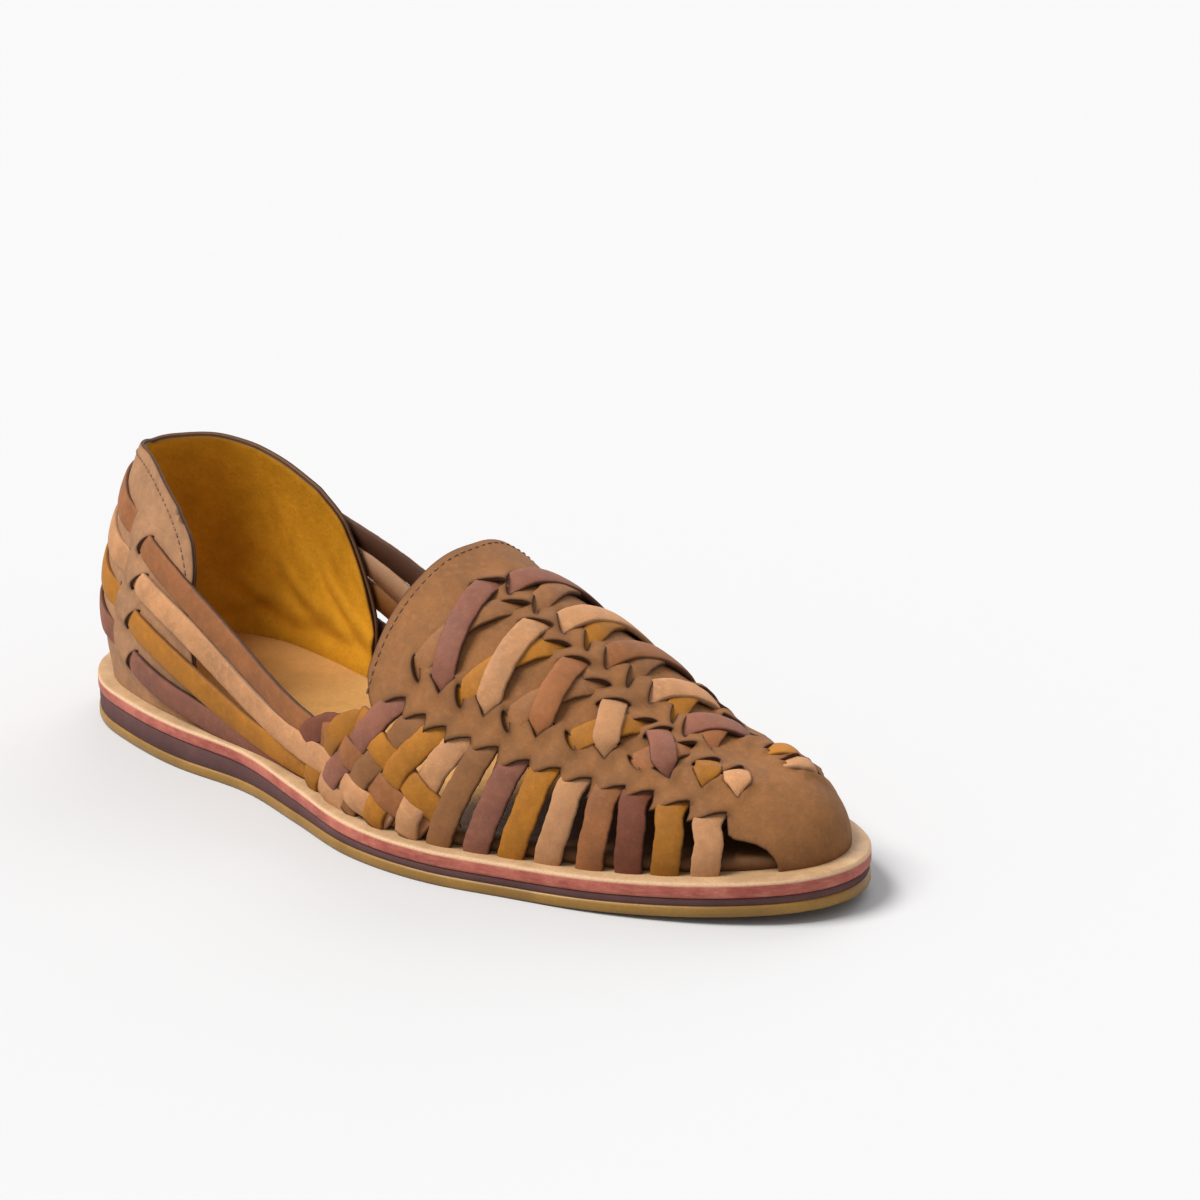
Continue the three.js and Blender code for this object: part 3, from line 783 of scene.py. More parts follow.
def make_vamp(material):
    outer = vamp_outline()
    holes = []
    for item in PLAN:
        if item["kind"] == "cross":
            holes += [lens(*item["low"], 1.5, 0.3), lens(*item["high"], 1.9, 0.5)]
        else:
            holes += [lens(*item["slit"], 2.4, 0.7), notch(item["tip"], middle(item["slit"]))]
    flat_points, tris, far = cut_pattern(outer, holes, 1.7)
    p, q = flat_points[:, 0] / KP, flat_points[:, 1] / KQ
    seam = np.abs(p - math.pi) < 1e-6
    far = np.where(np.abs(far - (math.pi - p) * KP) < 1e-3, 9, far)
    base, normal = last_point(p, q), last_normal(p, q)
    lift = vamp_lift(flat_points)
    round_over = -0.4 * (1 - np.clip(far / 1.0, 0, 1)) ** 2
    foot = 0.5 * np.clip((np.abs(q) - 0.985) / 0.015, 0, 1)
    top = base + normal * (lift + round_over)[:, None]
    under = base + normal * (lift - VAMP_THICK - round_over * 0.5)[:, None]
    for face in (top, under):
        face[:, 2] -= foot
    cut = 1 - ease((far - 0.05) / 0.55)
    cut = np.where(np.abs(q) > 0.97, 0, cut)
    # Darker near the slits, notches and edges: partly handling wear, partly painted shade in the recesses
    # round the slits
    tone = 0.9 * np.exp(-(far / 2.0) ** 1.3)
    return sheet("vamp", flat_points, tris, top, under, material,
                 {"cut": (cut, np.full(len(cut), 0.35)), "tone": (tone, np.ones(len(far)))}, seam)


# ---- laced straps
def beyond(here, there, reach):
    """Spot past `here`, away from `there`."""
    along, _, jac = local_axes(here, here + (here - there))
    return shift(here, jac, along * reach)


LACE_COLOURS = {"cross": CROSS_COLOURS, "long": LONG_COLOURS, "single": SINGLE_COLOURS}
LACE_LEVELS = {  # top face over the last, from the low end to the high one
    "cross": [-2.0, -1.3, 0.3, 1.5, 1.9, 1.6, 0.7, -0.9, -1.9],
    "single": [-2.6, -1.4, 0.4, 1.7, 2.1, 1.8, 1.2, -0.2, -1.5],
    "long": [-2.6, -1.6, 0.3, 2.3, 3.2, 2.4, 1.6, 0.1, -1.3],
    "inner long": [-2.6, -1.6, 0.2, 1.7, 2.6, 2.2, 1.6, 0.1, -1.3],
}


def make_laces(piles):
    for n, item in enumerate(PLAN):
        kind = item["kind"]
        if kind == "cross":
            a, b = middle(item["low"]), middle(item["high"])
            past, shares = (5, 1.2), (0.08, 0.3, 0.5, 0.72, 0.9)
            shape = {"width": CROSS_WIDTH, "thick": 1.4, "tone": 0.5 * math.sin(n * 2.4)}
        else:
            a, b = item["tip"], middle(item["slit"])
            past, shares = (4, 0.6), (0.09, 0.22, 0.5, 0.8, 0.94)
            shape = {"width": LONG_WIDTH, "thick": 1.5, "tone": 0.5 * math.sin(n * 1.9 + 1), "pointed": True}
        spots = [beyond(a, b, reach) for reach in past] + [mix(a, b, share) for share in shares]
        spots += [beyond(b, a, 1.2), beyond(b, a, 6)]
        levels = LACE_LEVELS["inner long" if kind == "long" and item["side"] > 0 else kind]
        path = resample(*trail(spots, levels))
        strap(piles[LACE_COLOURS[kind][item["k"]]], path, wave=0.02, seed=n, **shape)


# ---- side straps and braid
SIDE_STRAPS = [  # from the fifth notch on: the foot's station, a spot half way up, colour
    (191.5, 195.8, 0.208, "tan"), (203.0, 206.8, 0.234, "mauve"), (213.2, 216.8, 0.257, "ochre"),
    (223.9, 226.7, 0.265, "pale"), (235.9, 237.1, 0.313, "brown"), (246.2, 246.2, 0.36, "red"),
    (255.3, 255.9, 0.338, "ochre"), (264.6, 265.4, 0.316, "pale")]
SIDE_WIDTH = {-1: 7.9, 1: 9.3}
BRAID_WIDTH, QUARTER_WIDTH, HEEL_STRIP_WIDTH = 8.0, 8.2, 8.4


def tuck(path):
    """Carries a strap's foot straight down into the board."""
    points, normals, outs = path
    foot = points[0] - [0, 0, 1.2]
    return np.vstack([foot, points]), np.vstack([normals[0], normals]), np.concatenate([[outs[0]], outs])


def make_side_straps(piles):
    for side in (-1, 1):
        for k, (foot, mx, ma, colour) in enumerate(SIDE_STRAPS, 4):
            x, a = NOTCHES[k]
            spots = [spot(foot, 0.0, side), spot(mix(foot, mx, 0.45), ma * 0.45, side), spot(mx, ma, side),
                     spot(x - 4.3, a - 0.06, side), spot(x - 3.0, a + 0.05, side),
                     spot(x - 0.8, a + 0.22, side)]
            outs = [-0.1, 0.5, 0.7, 0.35, -0.9, -1.6]
            path = resample(*tuck(trail(spots, outs)))
            # The 0.4 added to every side strap's tone is painted shade, darkening them all as if in shade;
            # the sine is their own random tone
            strap(piles[colour], path, SIDE_WIDTH[side], 1.6, tone=0.4 + 0.4 * math.sin(k * 2.1 + side),
                  wave=0.025, seed=k + side, crown=0.45)


# braid, rear to front strands (forward and down) and front to rear ones (back and down): each
# spot is station, angle and level, 1 over and -1 under
BRAID_BACK = [
    ("red", [(147.5, 0.30, -2.2), (142.0, 0.275, -1.2), (139.0, 0.25, 0.2), (134.2, 0.205, 1),
             (129.0, 0.13, 0), (124.5, 0.04, -1), (123.5, 0, -1)]),
    ("ochre", [(161.0, 0.375, -2.2), (156.5, 0.37, -1.4), (153.2, 0.345, 0.2), (148.5, 0.275, 1),
               (142.5, 0.17, -1), (136.5, 0.055, 1), (134.5, 0.0, 0)]),
    ("mauve", [(176.0, 0.70, -1.8), (172.6, 0.60, -1), (168.6, 0.50, 0.6), (163.4, 0.38, 1),
               (156.0, 0.24, -1), (149.2, 0.125, 1), (144.5, 0.03, 0), (144.0, 0, 0)]),
    ("tan", [(185.5, 0.68, -1.8), (181.4, 0.58, -1), (177.0, 0.47, 0.6), (171.0, 0.33, -1), (164.4, 0.215, 1),
             (158.0, 0.09, -1), (155.0, 0, 0)]),
    ("ochre", [(192.0, 0.68, -1.8), (188.2, 0.57, -1), (182.6, 0.42, 0.6), (176.6, 0.28, 1),
               (172.6, 0.165, -1), (168.6, 0.05, 1), (167.5, 0, 0)]),
    ("pale", [(199.0, 0.68, -1.8), (195.6, 0.57, -1), (190.6, 0.40, 0.7), (186.0, 0.24, -1), (182.2, 0.1, 1),
              (180.5, 0, 0)]),
]
BRAID_ALONG = [  # the middle two carry on from quarter straps
    ("ochre", [(157.0, 0.40, -1.2), (160.5, 0.39, -1), (169.8, 0.335, 1), (177.4, 0.275, -1),
               (184.8, 0.215, 1), (191.5, 0.14, -1), (195, 0.06, -1)]),
    ("brown", [(141.5, 0.235, -0.2), (148.5, 0.262, -1), (156.0, 0.245, 1), (164.4, 0.205, -1),
               (172.8, 0.155, 1), (182.3, 0.09, -1), (187, 0.03, -1)]),
    ("tan", [(138.0, 0.14, 1), (149.0, 0.12, -1), (160.0, 0.085, 1), (169.5, 0.045, -1), (173, 0.01, -1)]),
    ("pale", [(136.0, 0.05, -1), (146.0, 0.04, 0.8), (153.5, 0.012, -0.2), (157, 0, -1)]),
]


def braid_trail(rows, side):
    spots = [spot(x, raise_inner(x, a) if side > 0 else a, side) for x, a, _ in rows]
    outs = [1.05 * level if level > 0 else 0.9 * level for _, _, level in rows]
    return trail(spots, outs)


def make_braid(piles):
    for side in (-1, 1):
        runs = [(n, row, 2.7, 31) for n, row in enumerate(BRAID_BACK)]
        runs += [(n, BRAID_ALONG[n], 1.3, 41) for n in (0, 3)]
        for n, (colour, rows), swing, first_seed in runs:
            path = resample(*braid_trail(rows, side))
            # The 0.3 added to every braid strand's tone is painted shade, darkening the braid as if in shade;
            # the sine is its own random tone
            strap(piles[colour], path, BRAID_WIDTH, 1.5, tone=0.3 + 0.45 * math.sin(n * swing + side),
                  wave=0.03, seed=n + first_seed, crown=0.6)


# ---- counter and quarter straps
QUARTER = [  # colour, height at the back, front slit's turn
    ("brown", 61, 0.8175), ("pale", 48.5, 0.81), ("ochre", 36.5, 0.785), ("mauve", 23.5, 0.778)]
REAR_SLIT = (0.727, 0.727, 0.683, 0.666)
SLIT_HEIGHT = {1: (49.6, 38.1, 25.7, 12.5), -1: (54.5, 45, 33.5, 20)}  # outer side, inner side
# each slit's lower and upper end, as turn and height from its strap's middle
FRONT_ENDS = (((-0.034, -3.2), (0.034, 3.2)), ((-0.043, -3.2), (0.043, 3.2)), ((-0.036, -3.6), (0.037, 3.6)),
              ((-0.031, -3.6), (0.031, 3.6)))
REAR_ENDS = (((-0.006, -4.4), (0.005, 4.3)), ((-0.007, -4.4), (0.007, 4.3)), ((-0.012, -5.0), (0.013, 4.9)),
             ((0.006, -4.2), (-0.006, 4.2)))
COURSES = {  # turn and height round the heel wall, then spots on the last
    1: ([(1.009, 42.2), (1.182, 31.9), (1.33, 24.6)], [(1.082, 29.4), (1.281, 15.8)],
        [(0.991, 19.6), (1.171, 10.8), (1.30, 5.6)],
        [(0.916, 9.0), (1.12, 4.6), (1.25, 1.6)]),
    -1: ([(0.96, 51.4), (1.11, 47.5), (1.34, 38.4)], [(0.96, 42.6), (1.11, 40.0), (1.25, 34.6)],
         [(0.96, 31.6), (1.14, 29.2), (1.26, 24.6)], [(0.95, 19), (1.12, 17.4), (1.26, 13.4)]),
}
ARRIVALS = (
    [(129.5, 0.205, 0.3), (135.0, 0.21, -0.9)] + BRAID_ALONG[1][1],
    [(128.5, 0.13, 0.8), (132.5, 0.135, 1.0)] + BRAID_ALONG[2][1],
    [(124.5, 0.06, 0.2), (131.0, 0.055, -0.9), (139.0, 0.05, -0.9), (148, 0.03, -1)],
    [(119.5, 0.035, -0.6), (126, 0.012, -1)],
)
ARC_TURNS = np.linspace(-1.4, 1.4, 1401)
ARC_SPAN = np.hypot(*(np.gradient(v, ARC_TURNS) for v in edge(ARC_TURNS)))
ARC = np.concatenate([[0], np.cumsum((ARC_SPAN[1:] + ARC_SPAN[:-1]) / 2 * np.diff(ARC_TURNS))])
ARC -= np.interp(0, ARC_TURNS, ARC)


def arc_at(turn):
    return np.interp(turn, ARC_TURNS, ARC)


def turn_of(arc):
    return np.interp(arc, ARC, ARC_TURNS)


def band_height(n, turn):
    slit = np.where(np.asarray(turn) > 0, SLIT_HEIGHT[1][n], SLIT_HEIGHT[-1][n])
    return mix(QUARTER[n][1], slit, np.abs(turn / QUARTER[n][2]) ** 3)


def counter_outline():
    ring = []
    for v in np.linspace(0, 1, 30):
        ring.append((arc_at(counter_outer(v)), v * counter_top(1.0)))
    for u in np.linspace(1, -1, 100)[1:]:
        reach = counter_outer(1.0) if u > 0 else counter_inner(1.0)
        ring.append((arc_at(u * reach), counter_top(u)))
    for v in np.linspace(1, 0, 30)[1:]:
        ring.append((arc_at(-counter_inner(v)), v * counter_top(-1.0)))
    for u in np.linspace(-counter_inner(0.0), counter_outer(0.0), 100)[1:-1]:
        ring.append((arc_at(u), 0))
    return np.array(ring, float)


def slit_ends(n, side, front):
    """Both ends of a strap's slit on the flat, low end first."""
    turn = QUARTER[n][2] if front else REAR_SLIT[n]
    rows = (FRONT_ENDS if front else REAR_ENDS)[n]
    middle = float(band_height(n, side * turn))
    return [np.array([arc_at(side * (turn + dt)), middle + dh]) for dt, dh in rows]


def eye(low, high, way, width, bow):
    """Lens-shaped slit, bowed towards the hidden side."""
    centre, half = (low + high) / 2, (high - low) / 2 * 1.08
    ring = []
    for s, c in EYE_TURNS:
        ring.append(centre + half * c + way * (width / 2 * math.copysign(abs(s) ** 1.2, s) + bow * c * c))
    return np.array(ring)


def slit_faces(n, side):
    """Centres of a strap's rear and front slits and the directions across them, forwards."""
    made = []
    for front in (False, True):
        low, high = slit_ends(n, side, front)
        along = unit(high - low)
        way = np.array([along[1], -along[0]]) * side
        made.append(((low + high) / 2, way if way[0] * side > 0 else -way))
    return made


def counter_lift(flat_points):
    """Leather raised over the straps where they pass behind it."""
    lift = np.zeros(len(flat_points))
    for n in range(4):
        for side in (-1, 1):
            (rear, way_r), (front, way_f) = slit_faces(n, side)
            along = unit(front - rear)
            rel = flat_points - (rear + front) / 2
            off = rel @ np.array([-along[1], along[0]])
            past_front, past_rear = (flat_points - front) @ way_f, (flat_points - rear) @ way_r
            hide = ease((0.9 - past_front) / 1.8) * ease((past_rear + 0.9) / 1.8)
            lift += 1.5 * hide * np.exp(-(np.abs(off) / 4.7) ** 3.5)
            lift += 0.5 * np.exp(-(past_front / 1.6) ** 2) * np.exp(-(np.abs(off) / 5) ** 4)
    return lift


def make_counter(nubuck, lining):
    holes = []
    for n in range(4):
        for side in (-1, 1):
            (_, way_r), (_, way_f) = slit_faces(n, side)
            holes.append(eye(*slit_ends(n, side, True), -way_f, 1.7, -0.5))
            holes.append(eye(*slit_ends(n, side, False), way_r, 1.3, -0.3))
    ring = counter_outline()
    flat_points, tris, far = cut_pattern(ring, holes, 1.8)
    turn, h = turn_of(flat_points[:, 0]), flat_points[:, 1]
    lift = counter_lift(flat_points)
    low = np.clip((1.2 - h) / 1.2, 0, 1)
    far = np.where(h < 1.5, 9, far)
    round_over = -0.35 * (1 - np.clip(far / 1.0, 0, 1)) ** 2
    normal = wall_normal(turn, h)
    top = wall(turn, h) + normal * (0.2 + lift + round_over)[:, None]
    under = wall(turn, h) + normal * (np.maximum(lift, 0) * 0.9 - 1.2 - round_over * 0.4)[:, None]
    for face in (top, under):
        face[:, 2] -= low * 0.6
    cut = 1 - ease((far - 0.05) / 0.5)
    # Darker near the slits and edges, a little paler elsewhere: partly handling wear, partly painted shade
    # round the slits
    tone = 0.7 * np.exp(-(far / 1.8) ** 1.3) - 0.15
    sheet("heel_counter_cover", flat_points, tris, top, under, nubuck,
          {"cut": (cut, np.ones(len(cut)) * 0.4), "tone": (tone, tone)})

    ring = ring * [0.995, 0.993]
    flat_points, tris, far = cut_pattern(ring, [], 2.0)
    turn, h = turn_of(flat_points[:, 0]), flat_points[:, 1]
    crease = lining_creases(flat_points)
    edge_in = -0.3 * (1 - np.clip(far / 1.0, 0, 1)) ** 2
    normal = wall_normal(turn, h)
    outer = wall(turn, h) + normal * (-1.32 * np.ones(len(h)))[:, None]
    inner = wall(turn, h) + normal * (-2.1 + crease - edge_in)[:, None]
    # The lining's folds are also coloured: paler on their ridges and darker in their hollows, a painted
    # highlight and painted shade
    return sheet("heel_lining", flat_points, tris, inner, outer, lining,
                 {"cut": (1 - ease((far - 0.05) / 0.6), np.ones(len(far))),
                  "tone": (crease * -1.2, np.zeros(len(far)))}, flip=True)


# soft folds of the lining: place round the heel and height, angle, half length, width, depth
CREASES = [(-98, 12, 0.5, 20, 2.2, 0.5), (-90, 20, 0.7, 18, 2.0, 0.4), (-80, 10, 0.25, 18, 2.4, 0.6),
           (-70, 17, 0.45, 16, 2.0, 0.4), (-104, 26, 0.9, 14, 1.8, 0.4), (-62, 8, 0.1, 18, 2.2, 0.5),
           (-50, 13, 0.25, 14, 2.0, 0.35), (-38, 8, -0.1, 16, 2.2, 0.4), (-112, 14, 0.6, 14, 2.0, 0.5),
           (-86, 36, 1.1, 14, 2.4, 0.3), (-64, 34, 1.3, 12, 2.4, 0.25), (60, 9, -0.2, 18, 2.2, 0.45),
           (82, 14, -0.45, 16, 2.0, 0.4), (44, 7, 0.1, 14, 2.0, 0.35), (98, 22, -0.8, 14, 1.8, 0.35),
           (20, 10, 0.15, 12, 2.2, 0.3), (-16, 9, -0.1, 12, 2.2, 0.3)]


def lining_creases(points):
    """Height of the lining's folds, each with a shallow hollow beside it."""
    depth = np.zeros(len(points))
    for x, h, angle, half, wide, deep in CREASES:
        rel = points - [x, h]
        c, s = math.cos(angle), math.sin(angle)
        u, v = rel[:, 0] * c + rel[:, 1] * s, rel[:, 1] * c - rel[:, 0] * s
        v = v - 0.012 * u * u
        fade = np.exp(-(u / half) ** 4)
        beside = np.exp(-((v - wide * 1.9) / (wide * 1.2)) ** 2)
        depth += deep * fade * (np.exp(-(v / wide) ** 2) - 0.8 * beside)
    return depth


def wall_trail(rows):
    turn = np.array([r[0] for r in rows])
    h = np.array([r[1] for r in rows])
    return wall(turn, h), wall_normal(turn, h), np.array([float(r[2]) for r in rows])


def raise_inner(x, a):
    """The braid climbs higher on the inner side, its straps' feet staying down."""
    share = 1 - ease((x - 152) / 38)
    return a + share * np.interp(a, [0, 0.05, 0.12, 0.25, 0.38, 0.47, 0.54],
                                 [0, 0.08, 0.14, 0.165, 0.125, 0.035, 0])


def make_quarter_straps(piles):
    for n, (colour, _, _) in enumerate(QUARTER):
        for side in (-1, 1):  # here the sign of the heel's turn, which is positive on the outer side
            (rear, _), (front, _) = slit_faces(n, side)
            rows = []
            for share, out in ((0.25, 0.1), (0.8, 0.15), (1.06, 0.9)):
                spot_flat = mix(rear, front, share)
                rows.append((turn_of(spot_flat[0]), spot_flat[1], out))
            rows += [(side * turn, h, 2.3) for turn, h in COURSES[side][n]]
            points, normals, outs = wall_trail(rows)
            lay, lay_n, lay_o = braid_trail(ARRIVALS[n], -side)
            points = np.vstack([points + normals * outs[:, None], lay + lay_n * lay_o[:, None]])
            normals = np.vstack([normals, lay_n])
            path = soften(points, normals, 3, len(rows))
            strap(piles[colour], path, QUARTER_WIDTH, 1.6, tone=0.35 * math.sin(n * 2.2 + side),
                  wave=0.012, seed=n + 7, crown=0.45)
        # the strip round the back of the heel, its ends cut to a point and tucked in
        reach = REAR_SLIT[n]
        turns = np.linspace(-reach - 0.05, reach + 0.05, 61)
        outs = mix(0.0, 1.35, ease((reach - np.abs(turns)) / 0.1))
        h = band_height(n, turns)
        path = resample(wall(turns, h), wall_normal(turns, h), outs)
        strap(piles[colour], path, HEEL_STRIP_WIDTH, 1.5, tone=0.35 * math.sin(n * 2.2),
              wave=0.012, seed=n + 17, crown=0.3)


def soften(points, normals, first, last_row):
    """Smooth free path through given points, offsets already in them, drawn taut between
    the first and the last row of its free run."""
    run = run_along(points)
    begin, end = run[first - 1] + 2, run[last_row]
    keep = np.concatenate([[True], np.diff(run) > 1e-6])
    run, points, normals = run[keep], points[keep], normals[keep]
    fine = np.linspace(0, run[-1], 400)
    lay = lambda rows: np.stack([curve(list(zip(run, rows[:, k])))(fine) for k in range(3)], -1)
    p, n = lay(points), unit(lay(normals))
    taut = (ease((fine - begin) / 8) * (1 - ease((fine - end) / 6)))[1:-1, None]
    for _ in range(1200):
        p[1:-1] += 0.45 * taut * (p[:-2] + p[2:] - 2 * p[1:-1])
    return resample(p, n, np.zeros(len(p)))


# ---- sole
SLAB_STEPS = 260
SHADE_FROM, SHADE_OVER = 172, 30  # where painted shade darkens the footbed under the vamp


def slab(name, rings, material, bands=None, margin=None):
    """Closed sole layer from rings round the outline: inset, level and height over it."""
    steps = SLAB_STEPS
    turns = np.arange(steps) * 2 * math.pi / steps
    x, _ = edge(turns)
    points, band = [], []
    for k, (inset, level, up) in enumerate(rings):
        px, py = rim(turns, margin(x) + inset if margin else inset)
        points.append(np.stack([px, py, level(x) + up], -1))
        band.append(np.full(steps, (bands or [0] * len(rings))[k], float))
    faces = []
    for r in range(len(rings) - 1):
        for k in range(steps):
            a, b = r * steps + k, r * steps + (k + 1) % steps
            faces.append((a, b, b + steps, a + steps))
    half = steps // 2
    for ring, turned in ((0, True), (len(rings) - 1, False)):
        at = lambda k: ring * steps + k % steps
        for k in range(half):
            quad = (at(k), at(k + 1), at(-k - 1), at(-k))
            quad = tuple(dict.fromkeys(quad))
            faces.append(quad[::-1] if turned else quad)
    points = np.concatenate(points)
    band = np.concatenate(band)
    if name == "footbed":  # painted shade: darker where the vamp covers it, laid in the cut channel
        band = np.maximum(band, 0.9 * ease((points[:, 0] - SHADE_FROM) / SHADE_OVER))
    made = piece(name, points, faces, material, {"cut": band})
    made.data.polygons.foreach_set("use_smooth", [len(p.vertices) == 4 and i < (len(rings) - 1) * steps
                                                  for i, p in enumerate(made.data.polygons)])
    return made


def make_sole():
    out_top = lambda x: ground(x) + OUTSOLE
    board_low = lambda x: seat(x) - MIDSOLE
    gum = sole_material("amber_gum", (0.255, 0.13, 0.02), 0.42, 0.4)
    wedge = sole_material("dark_wedge_foam", (0.10, 0.048, 0.045), 0.8, 0.15)
    board = board_material()
    footbed = leather("footbed_tan", (0.55, 0.28, 0.085), (0.09, 0.034, 0.012), rough=0.6, nap=0.35,
                      marks=0.1, grain=1100)
    made = [
        slab("gum_outsole",
             [(3.2, ground, 0), (0.9, ground, 0), (0.25, ground, 0.25), (0.0, ground, 0.9),
              (0.0, out_top, -0.75), (0.18, out_top, -0.2), (0.6, out_top, 0.05), (3, out_top, 0.05)],
             gum),
        slab("wedge",
             [(3, out_top, -0.1), (0.7, out_top, -0.1), (0.42, out_top, 0.3), (0.38, board_low, -0.4),
              (0.6, board_low, -0.02), (3, board_low, 0)], wedge),
        slab("board",
             [(3, board_low, 0), (0.7, board_low, 0), (0.2, board_low, 0.35), (0, board_low, 0.9),
              (0, seat, -1.6), (0, seat, -0.95), (0.1, seat, -0.45), (0.4, seat, -0.12), (0.9, seat, 0),
              (4, seat, 0), (12, seat, 0)],
             board, bands=[0.3, 0.9, 1, 1, 1, 0.35, 0.15, 0, 0, 0, 0]),
        slab("footbed",
             [(4.4, seat, -0.1), (3.0, seat, 0.2), (2.6, seat, 1.6), (2.9, seat, 3.0), (3.9, seat, 3.8),
              (5.6, seat, 4.0), (10, seat, 3.75), (16, seat, 3.5)],
             footbed, bands=[0.6, 0.5, 0.3, 0.1, 0, 0, 0, 0], margin=flange),
    ]
    for obj, name in zip(made, ("outsole", "midsole_wedge", "midsole", "insole")):
        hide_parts(name)


def sole_material(name, colour, rough, gloss):
    shader, tree = new_material(name)
    coord = node(tree, "ShaderNodeTexCoord").outputs["Object"]
    cloud = noise(tree, coord, 60, 3)
    speck = noise(tree, coord, 1300, 2, 0.7)
    scuff = noise(tree, coord, 300, 4, 0.65, (0.25, 0.25, 2.5))
    base = blend(tree, spread(tree, cloud, 0.35, 0.65), shade(colour, 0.82), shade(colour, 1.12))
    base = blend(tree, spread(tree, speck, 0.35, 0.6, 0.3, 0), base, shade(colour, 0.6))
    base = blend(tree, spread(tree, scuff, 0.55, 0.8, 0, 0.35), base, shade(colour, 1.5))
    tree.links.new(base, shader.inputs["Base Color"])
    tree.links.new(spread(tree, scuff, 0.3, 0.7, rough - 0.06, rough + 0.1), shader.inputs["Roughness"])
    shader.inputs["Specular IOR Level"].default_value = gloss
    bump(tree, shader, [(speck, 0.25, 0.00015), (scuff, 0.3, 0.0003)])
    return bpy.data.materials[name]


def board_material():
    """Tan board whose edge is dyed red, with a natural line left along its top."""
    shader, tree = new_material("board_leather")
    coord = node(tree, "ShaderNodeTexCoord").outputs["Object"]
    cloud = noise(tree, coord, 110, 4, 0.6)
    fibre = noise(tree, coord, 520, 4, 0.65, (0.5, 0.5, 3))
    pores = noise(tree, coord, 1500, 2, 0.7)
    top = blend(tree, spread(tree, cloud, 0.35, 0.65), (0.36, 0.21, 0.10), (0.46, 0.285, 0.145))
    dyed = blend(tree, spread(tree, cloud, 0.38, 0.64), (0.30, 0.05, 0.033), (0.46, 0.115, 0.075))
    dyed = blend(tree, spread(tree, fibre, 0.46, 0.7, 0, 0.4), dyed, (0.52, 0.25, 0.16))
    band = channel(tree, "cut")
    pale = blend(tree, spread(tree, band, 0.02, 0.15), top, (0.6, 0.38, 0.22))
    base = blend(tree, spread(tree, band, 0.3, 0.75), pale, dyed)
    base = blend(tree, spread(tree, pores, 0.3, 0.55, 0.25, 0), base, (0.14, 0.06, 0.03))
    tree.links.new(base, shader.inputs["Base Color"])
    tree.links.new(spread(tree, fibre, 0.3, 0.7, 0.58, 0.74), shader.inputs["Roughness"])
    bump(tree, shader, [(pores, 0.25, 0.00015), (fibre, 0.35, 0.0003)])
    return bpy.data.materials["board_leather"]


# ---- stitching
def stitch_tree(material):
    tree = bpy.data.node_groups.new("stitch_row", "GeometryNodeTree")
    face = tree.interface
    face.new_socket("Geometry", in_out="INPUT", socket_type="NodeSocketGeometry")
    for name, value in (("Pitch", 0.0026), ("Stitch Length", 0.0009), ("Thread Radius", 0.00032),
                        ("Unevenness", 0.12)):
        face.new_socket(name, in_out="INPUT", socket_type="NodeSocketFloat").default_value = value
    face.new_socket("Seed", in_out="INPUT", socket_type="NodeSocketInt").default_value = 4
    face.new_socket("Geometry", in_out="OUTPUT", socket_type="NodeSocketGeometry")
    make = tree.nodes.new

    def join(giver, outlet, taker, inlet):
        tree.links.new(giver.outputs[outlet], taker.inputs[inlet])

    source, out = make("NodeGroupInput"), make("NodeGroupOutput")
    line, even = make("GeometryNodeMeshToCurve"), make("GeometryNodeCurveToPoints")
    even.mode = "LENGTH"
    join(source, "Geometry", line, "Mesh")
    join(line, "Curve", even, "Curve")
    join(source, "Pitch", even, "Length")
    bead = make("GeometryNodeMeshUVSphere")
    bead.inputs["Segments"].default_value = 8
    bead.inputs["Rings"].default_value = 6
    bead.inputs["Radius"].default_value = 1.0
    size = make("ShaderNodeCombineXYZ")
    for key, name in (("X", "Thread Radius"), ("Y", "Thread Radius"), ("Z", "Stitch Length")):
        join(source, name, size, key)
    shaped = make("GeometryNodeTransform")
    join(bead, "Mesh", shaped, "Geometry")
    join(size, "Vector", shaped, "Scale")
    low, high = make("ShaderNodeMath"), make("ShaderNodeMath")
    low.operation, high.operation = "SUBTRACT", "ADD"
    low.inputs[0].default_value = high.inputs[0].default_value = 1.0
    join(source, "Unevenness", low, 1)
    join(source, "Unevenness", high, 1)
    vary = make("FunctionNodeRandomValue")
    vary.data_type = "FLOAT"
    join(low, 0, vary, 2)
    join(high, 0, vary, 3)
    join(source, "Seed", vary, "Seed")
    put = make("GeometryNodeInstanceOnPoints")
    join(even, "Points", put, "Points")
    join(shaped, "Geometry", put, "Instance")
    join(even, "Rotation", put, "Rotation")
    join(vary, 1, put, "Scale")
    real, paint = make("GeometryNodeRealizeInstances"), make("GeometryNodeSetMaterial")
    join(put, "Instances", real, "Geometry")
    join(real, "Geometry", paint, "Geometry")
    paint.inputs["Material"].default_value = material
    join(paint, "Geometry", out, "Geometry")
    return tree


def stitch(name, tree, points, slot, **sizes):
    """Row of stitches along a path given in millimetres."""
    mesh = bpy.data.meshes.new(name + "_path")
    mesh.from_pydata(to_row(points).tolist(), [(k, k + 1) for k in range(len(points) - 1)], [])
    holder = bpy.data.objects.new(name + "_path", mesh)
    scene.collection.objects.link(holder)
    modifier = holder.modifiers.new("stitches", "NODES")
    modifier.node_group = tree
    for item in tree.interface.items_tree:
        if item.in_out == "INPUT" and item.name in sizes:
            modifier[item.identifier] = sizes[item.name]
    deps = bpy.context.evaluated_depsgraph_get()
    deps.update()
    made_mesh = bpy.data.meshes.new_from_object(holder.evaluated_get(deps))
    holder.modifiers.clear()
    bpy.data.objects.remove(holder)
    made_mesh.polygons.foreach_set("use_smooth", [True] * len(made_mesh.polygons))
    made = bpy.data.objects.new(name, made_mesh)
    scene.collection.objects.link(made)
    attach(made, "root")
    return made


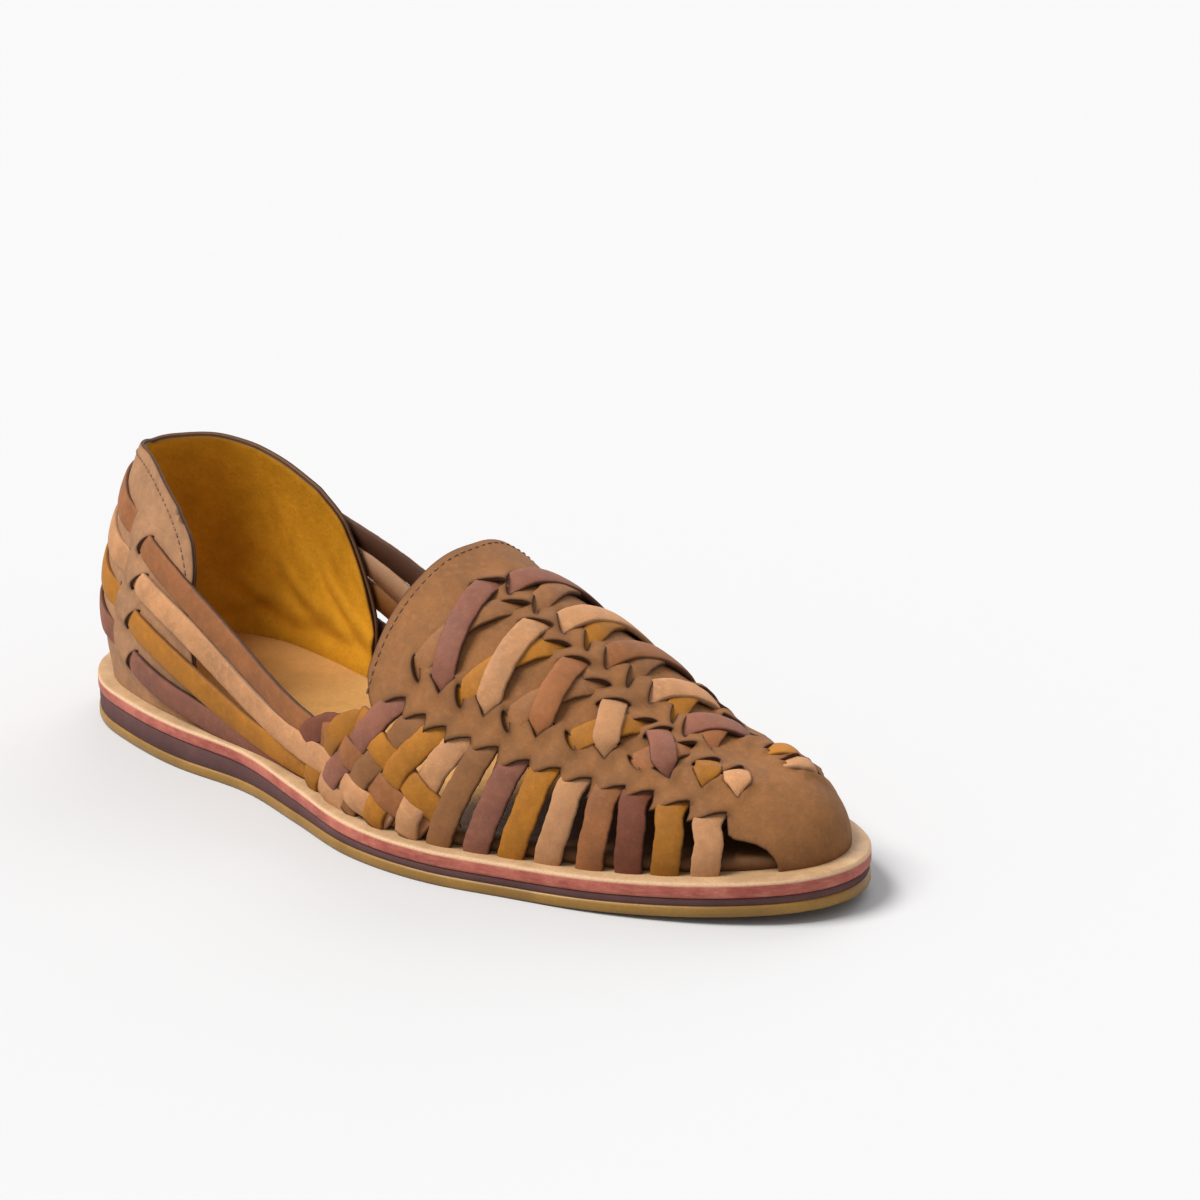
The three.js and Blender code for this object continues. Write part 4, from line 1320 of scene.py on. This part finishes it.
def make_stitching():
    shader, tree = new_material("thread")
    coord = node(tree, "ShaderNodeTexCoord").outputs["Object"]
    twist = noise(tree, coord, 1800, 2)
    tree.links.new(blend(tree, spread(tree, twist, 0.35, 0.65), (0.07, 0.028, 0.012), (0.22, 0.115, 0.055)),
                   shader.inputs["Base Color"])
    shader.inputs["Roughness"].default_value = 0.7
    row = stitch_tree(bpy.data.materials["thread"])
    q = np.linspace(-0.66, 0.66, 160)
    rise = ease((0.75 - np.abs(q)) / 0.5)
    p = station(160.0 + 2.2 * rise * (1 - np.abs(q) / 0.75))
    lift = vamp_lift(np.stack([p * KP, q * KQ], -1))
    stitch("collar_stitches", row, last(p, q, lift + 0.06), "upper_leather", Pitch=0.0027, Seed=3)
    ring = counter_outline()
    ring = ring[:int(np.argmin(ring[:, 0])) + 12]
    ring = ring[ring[:, 1] > 44]
    way = unit(np.gradient(ring, axis=0))
    path = ring + np.stack([-way[:, 1], way[:, 0]], -1) * 2.9
    for _ in range(30):
        path[1:-1] = (path[:-2] + 2 * path[1:-1] + path[2:]) / 4
    lift = counter_lift(path)
    turn = turn_of(path[:, 0])
    points = wall(turn, path[:, 1]) + wall_normal(turn, path[:, 1]) * (0.26 + lift)[:, None]
    stitch("counter_stitches", row, points, "counter_leather", Pitch=0.0024, Seed=5)


# ---- assembly
aim_camera()
studio()
make_sole()
skins = {name: leather(name + "_hide", TANS[name], CUTS[name],
                       rough=0.8 if name in ("vamp", "counter") else 0.68) for name in TANS}
lining_skin = leather("ochre_lining", (0.68, 0.31, 0.016), (0.06, 0.022, 0.006), rough=0.55, nap=0.3,
                      marks=0.14, grain=900)
vamp = make_vamp(skins["vamp"])
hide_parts("upper")
piles = {name: Pile() for name in TANS if name not in ("vamp", "counter")}
make_laces(piles)
make_side_straps(piles)
make_braid(piles)
make_quarter_straps(piles)
for name, pile in piles.items():
    pile.make("straps_" + name, skins[name], "upper_leather")
lining = make_counter(skins["counter"], lining_skin)
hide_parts("heel_counter")
make_stitching()
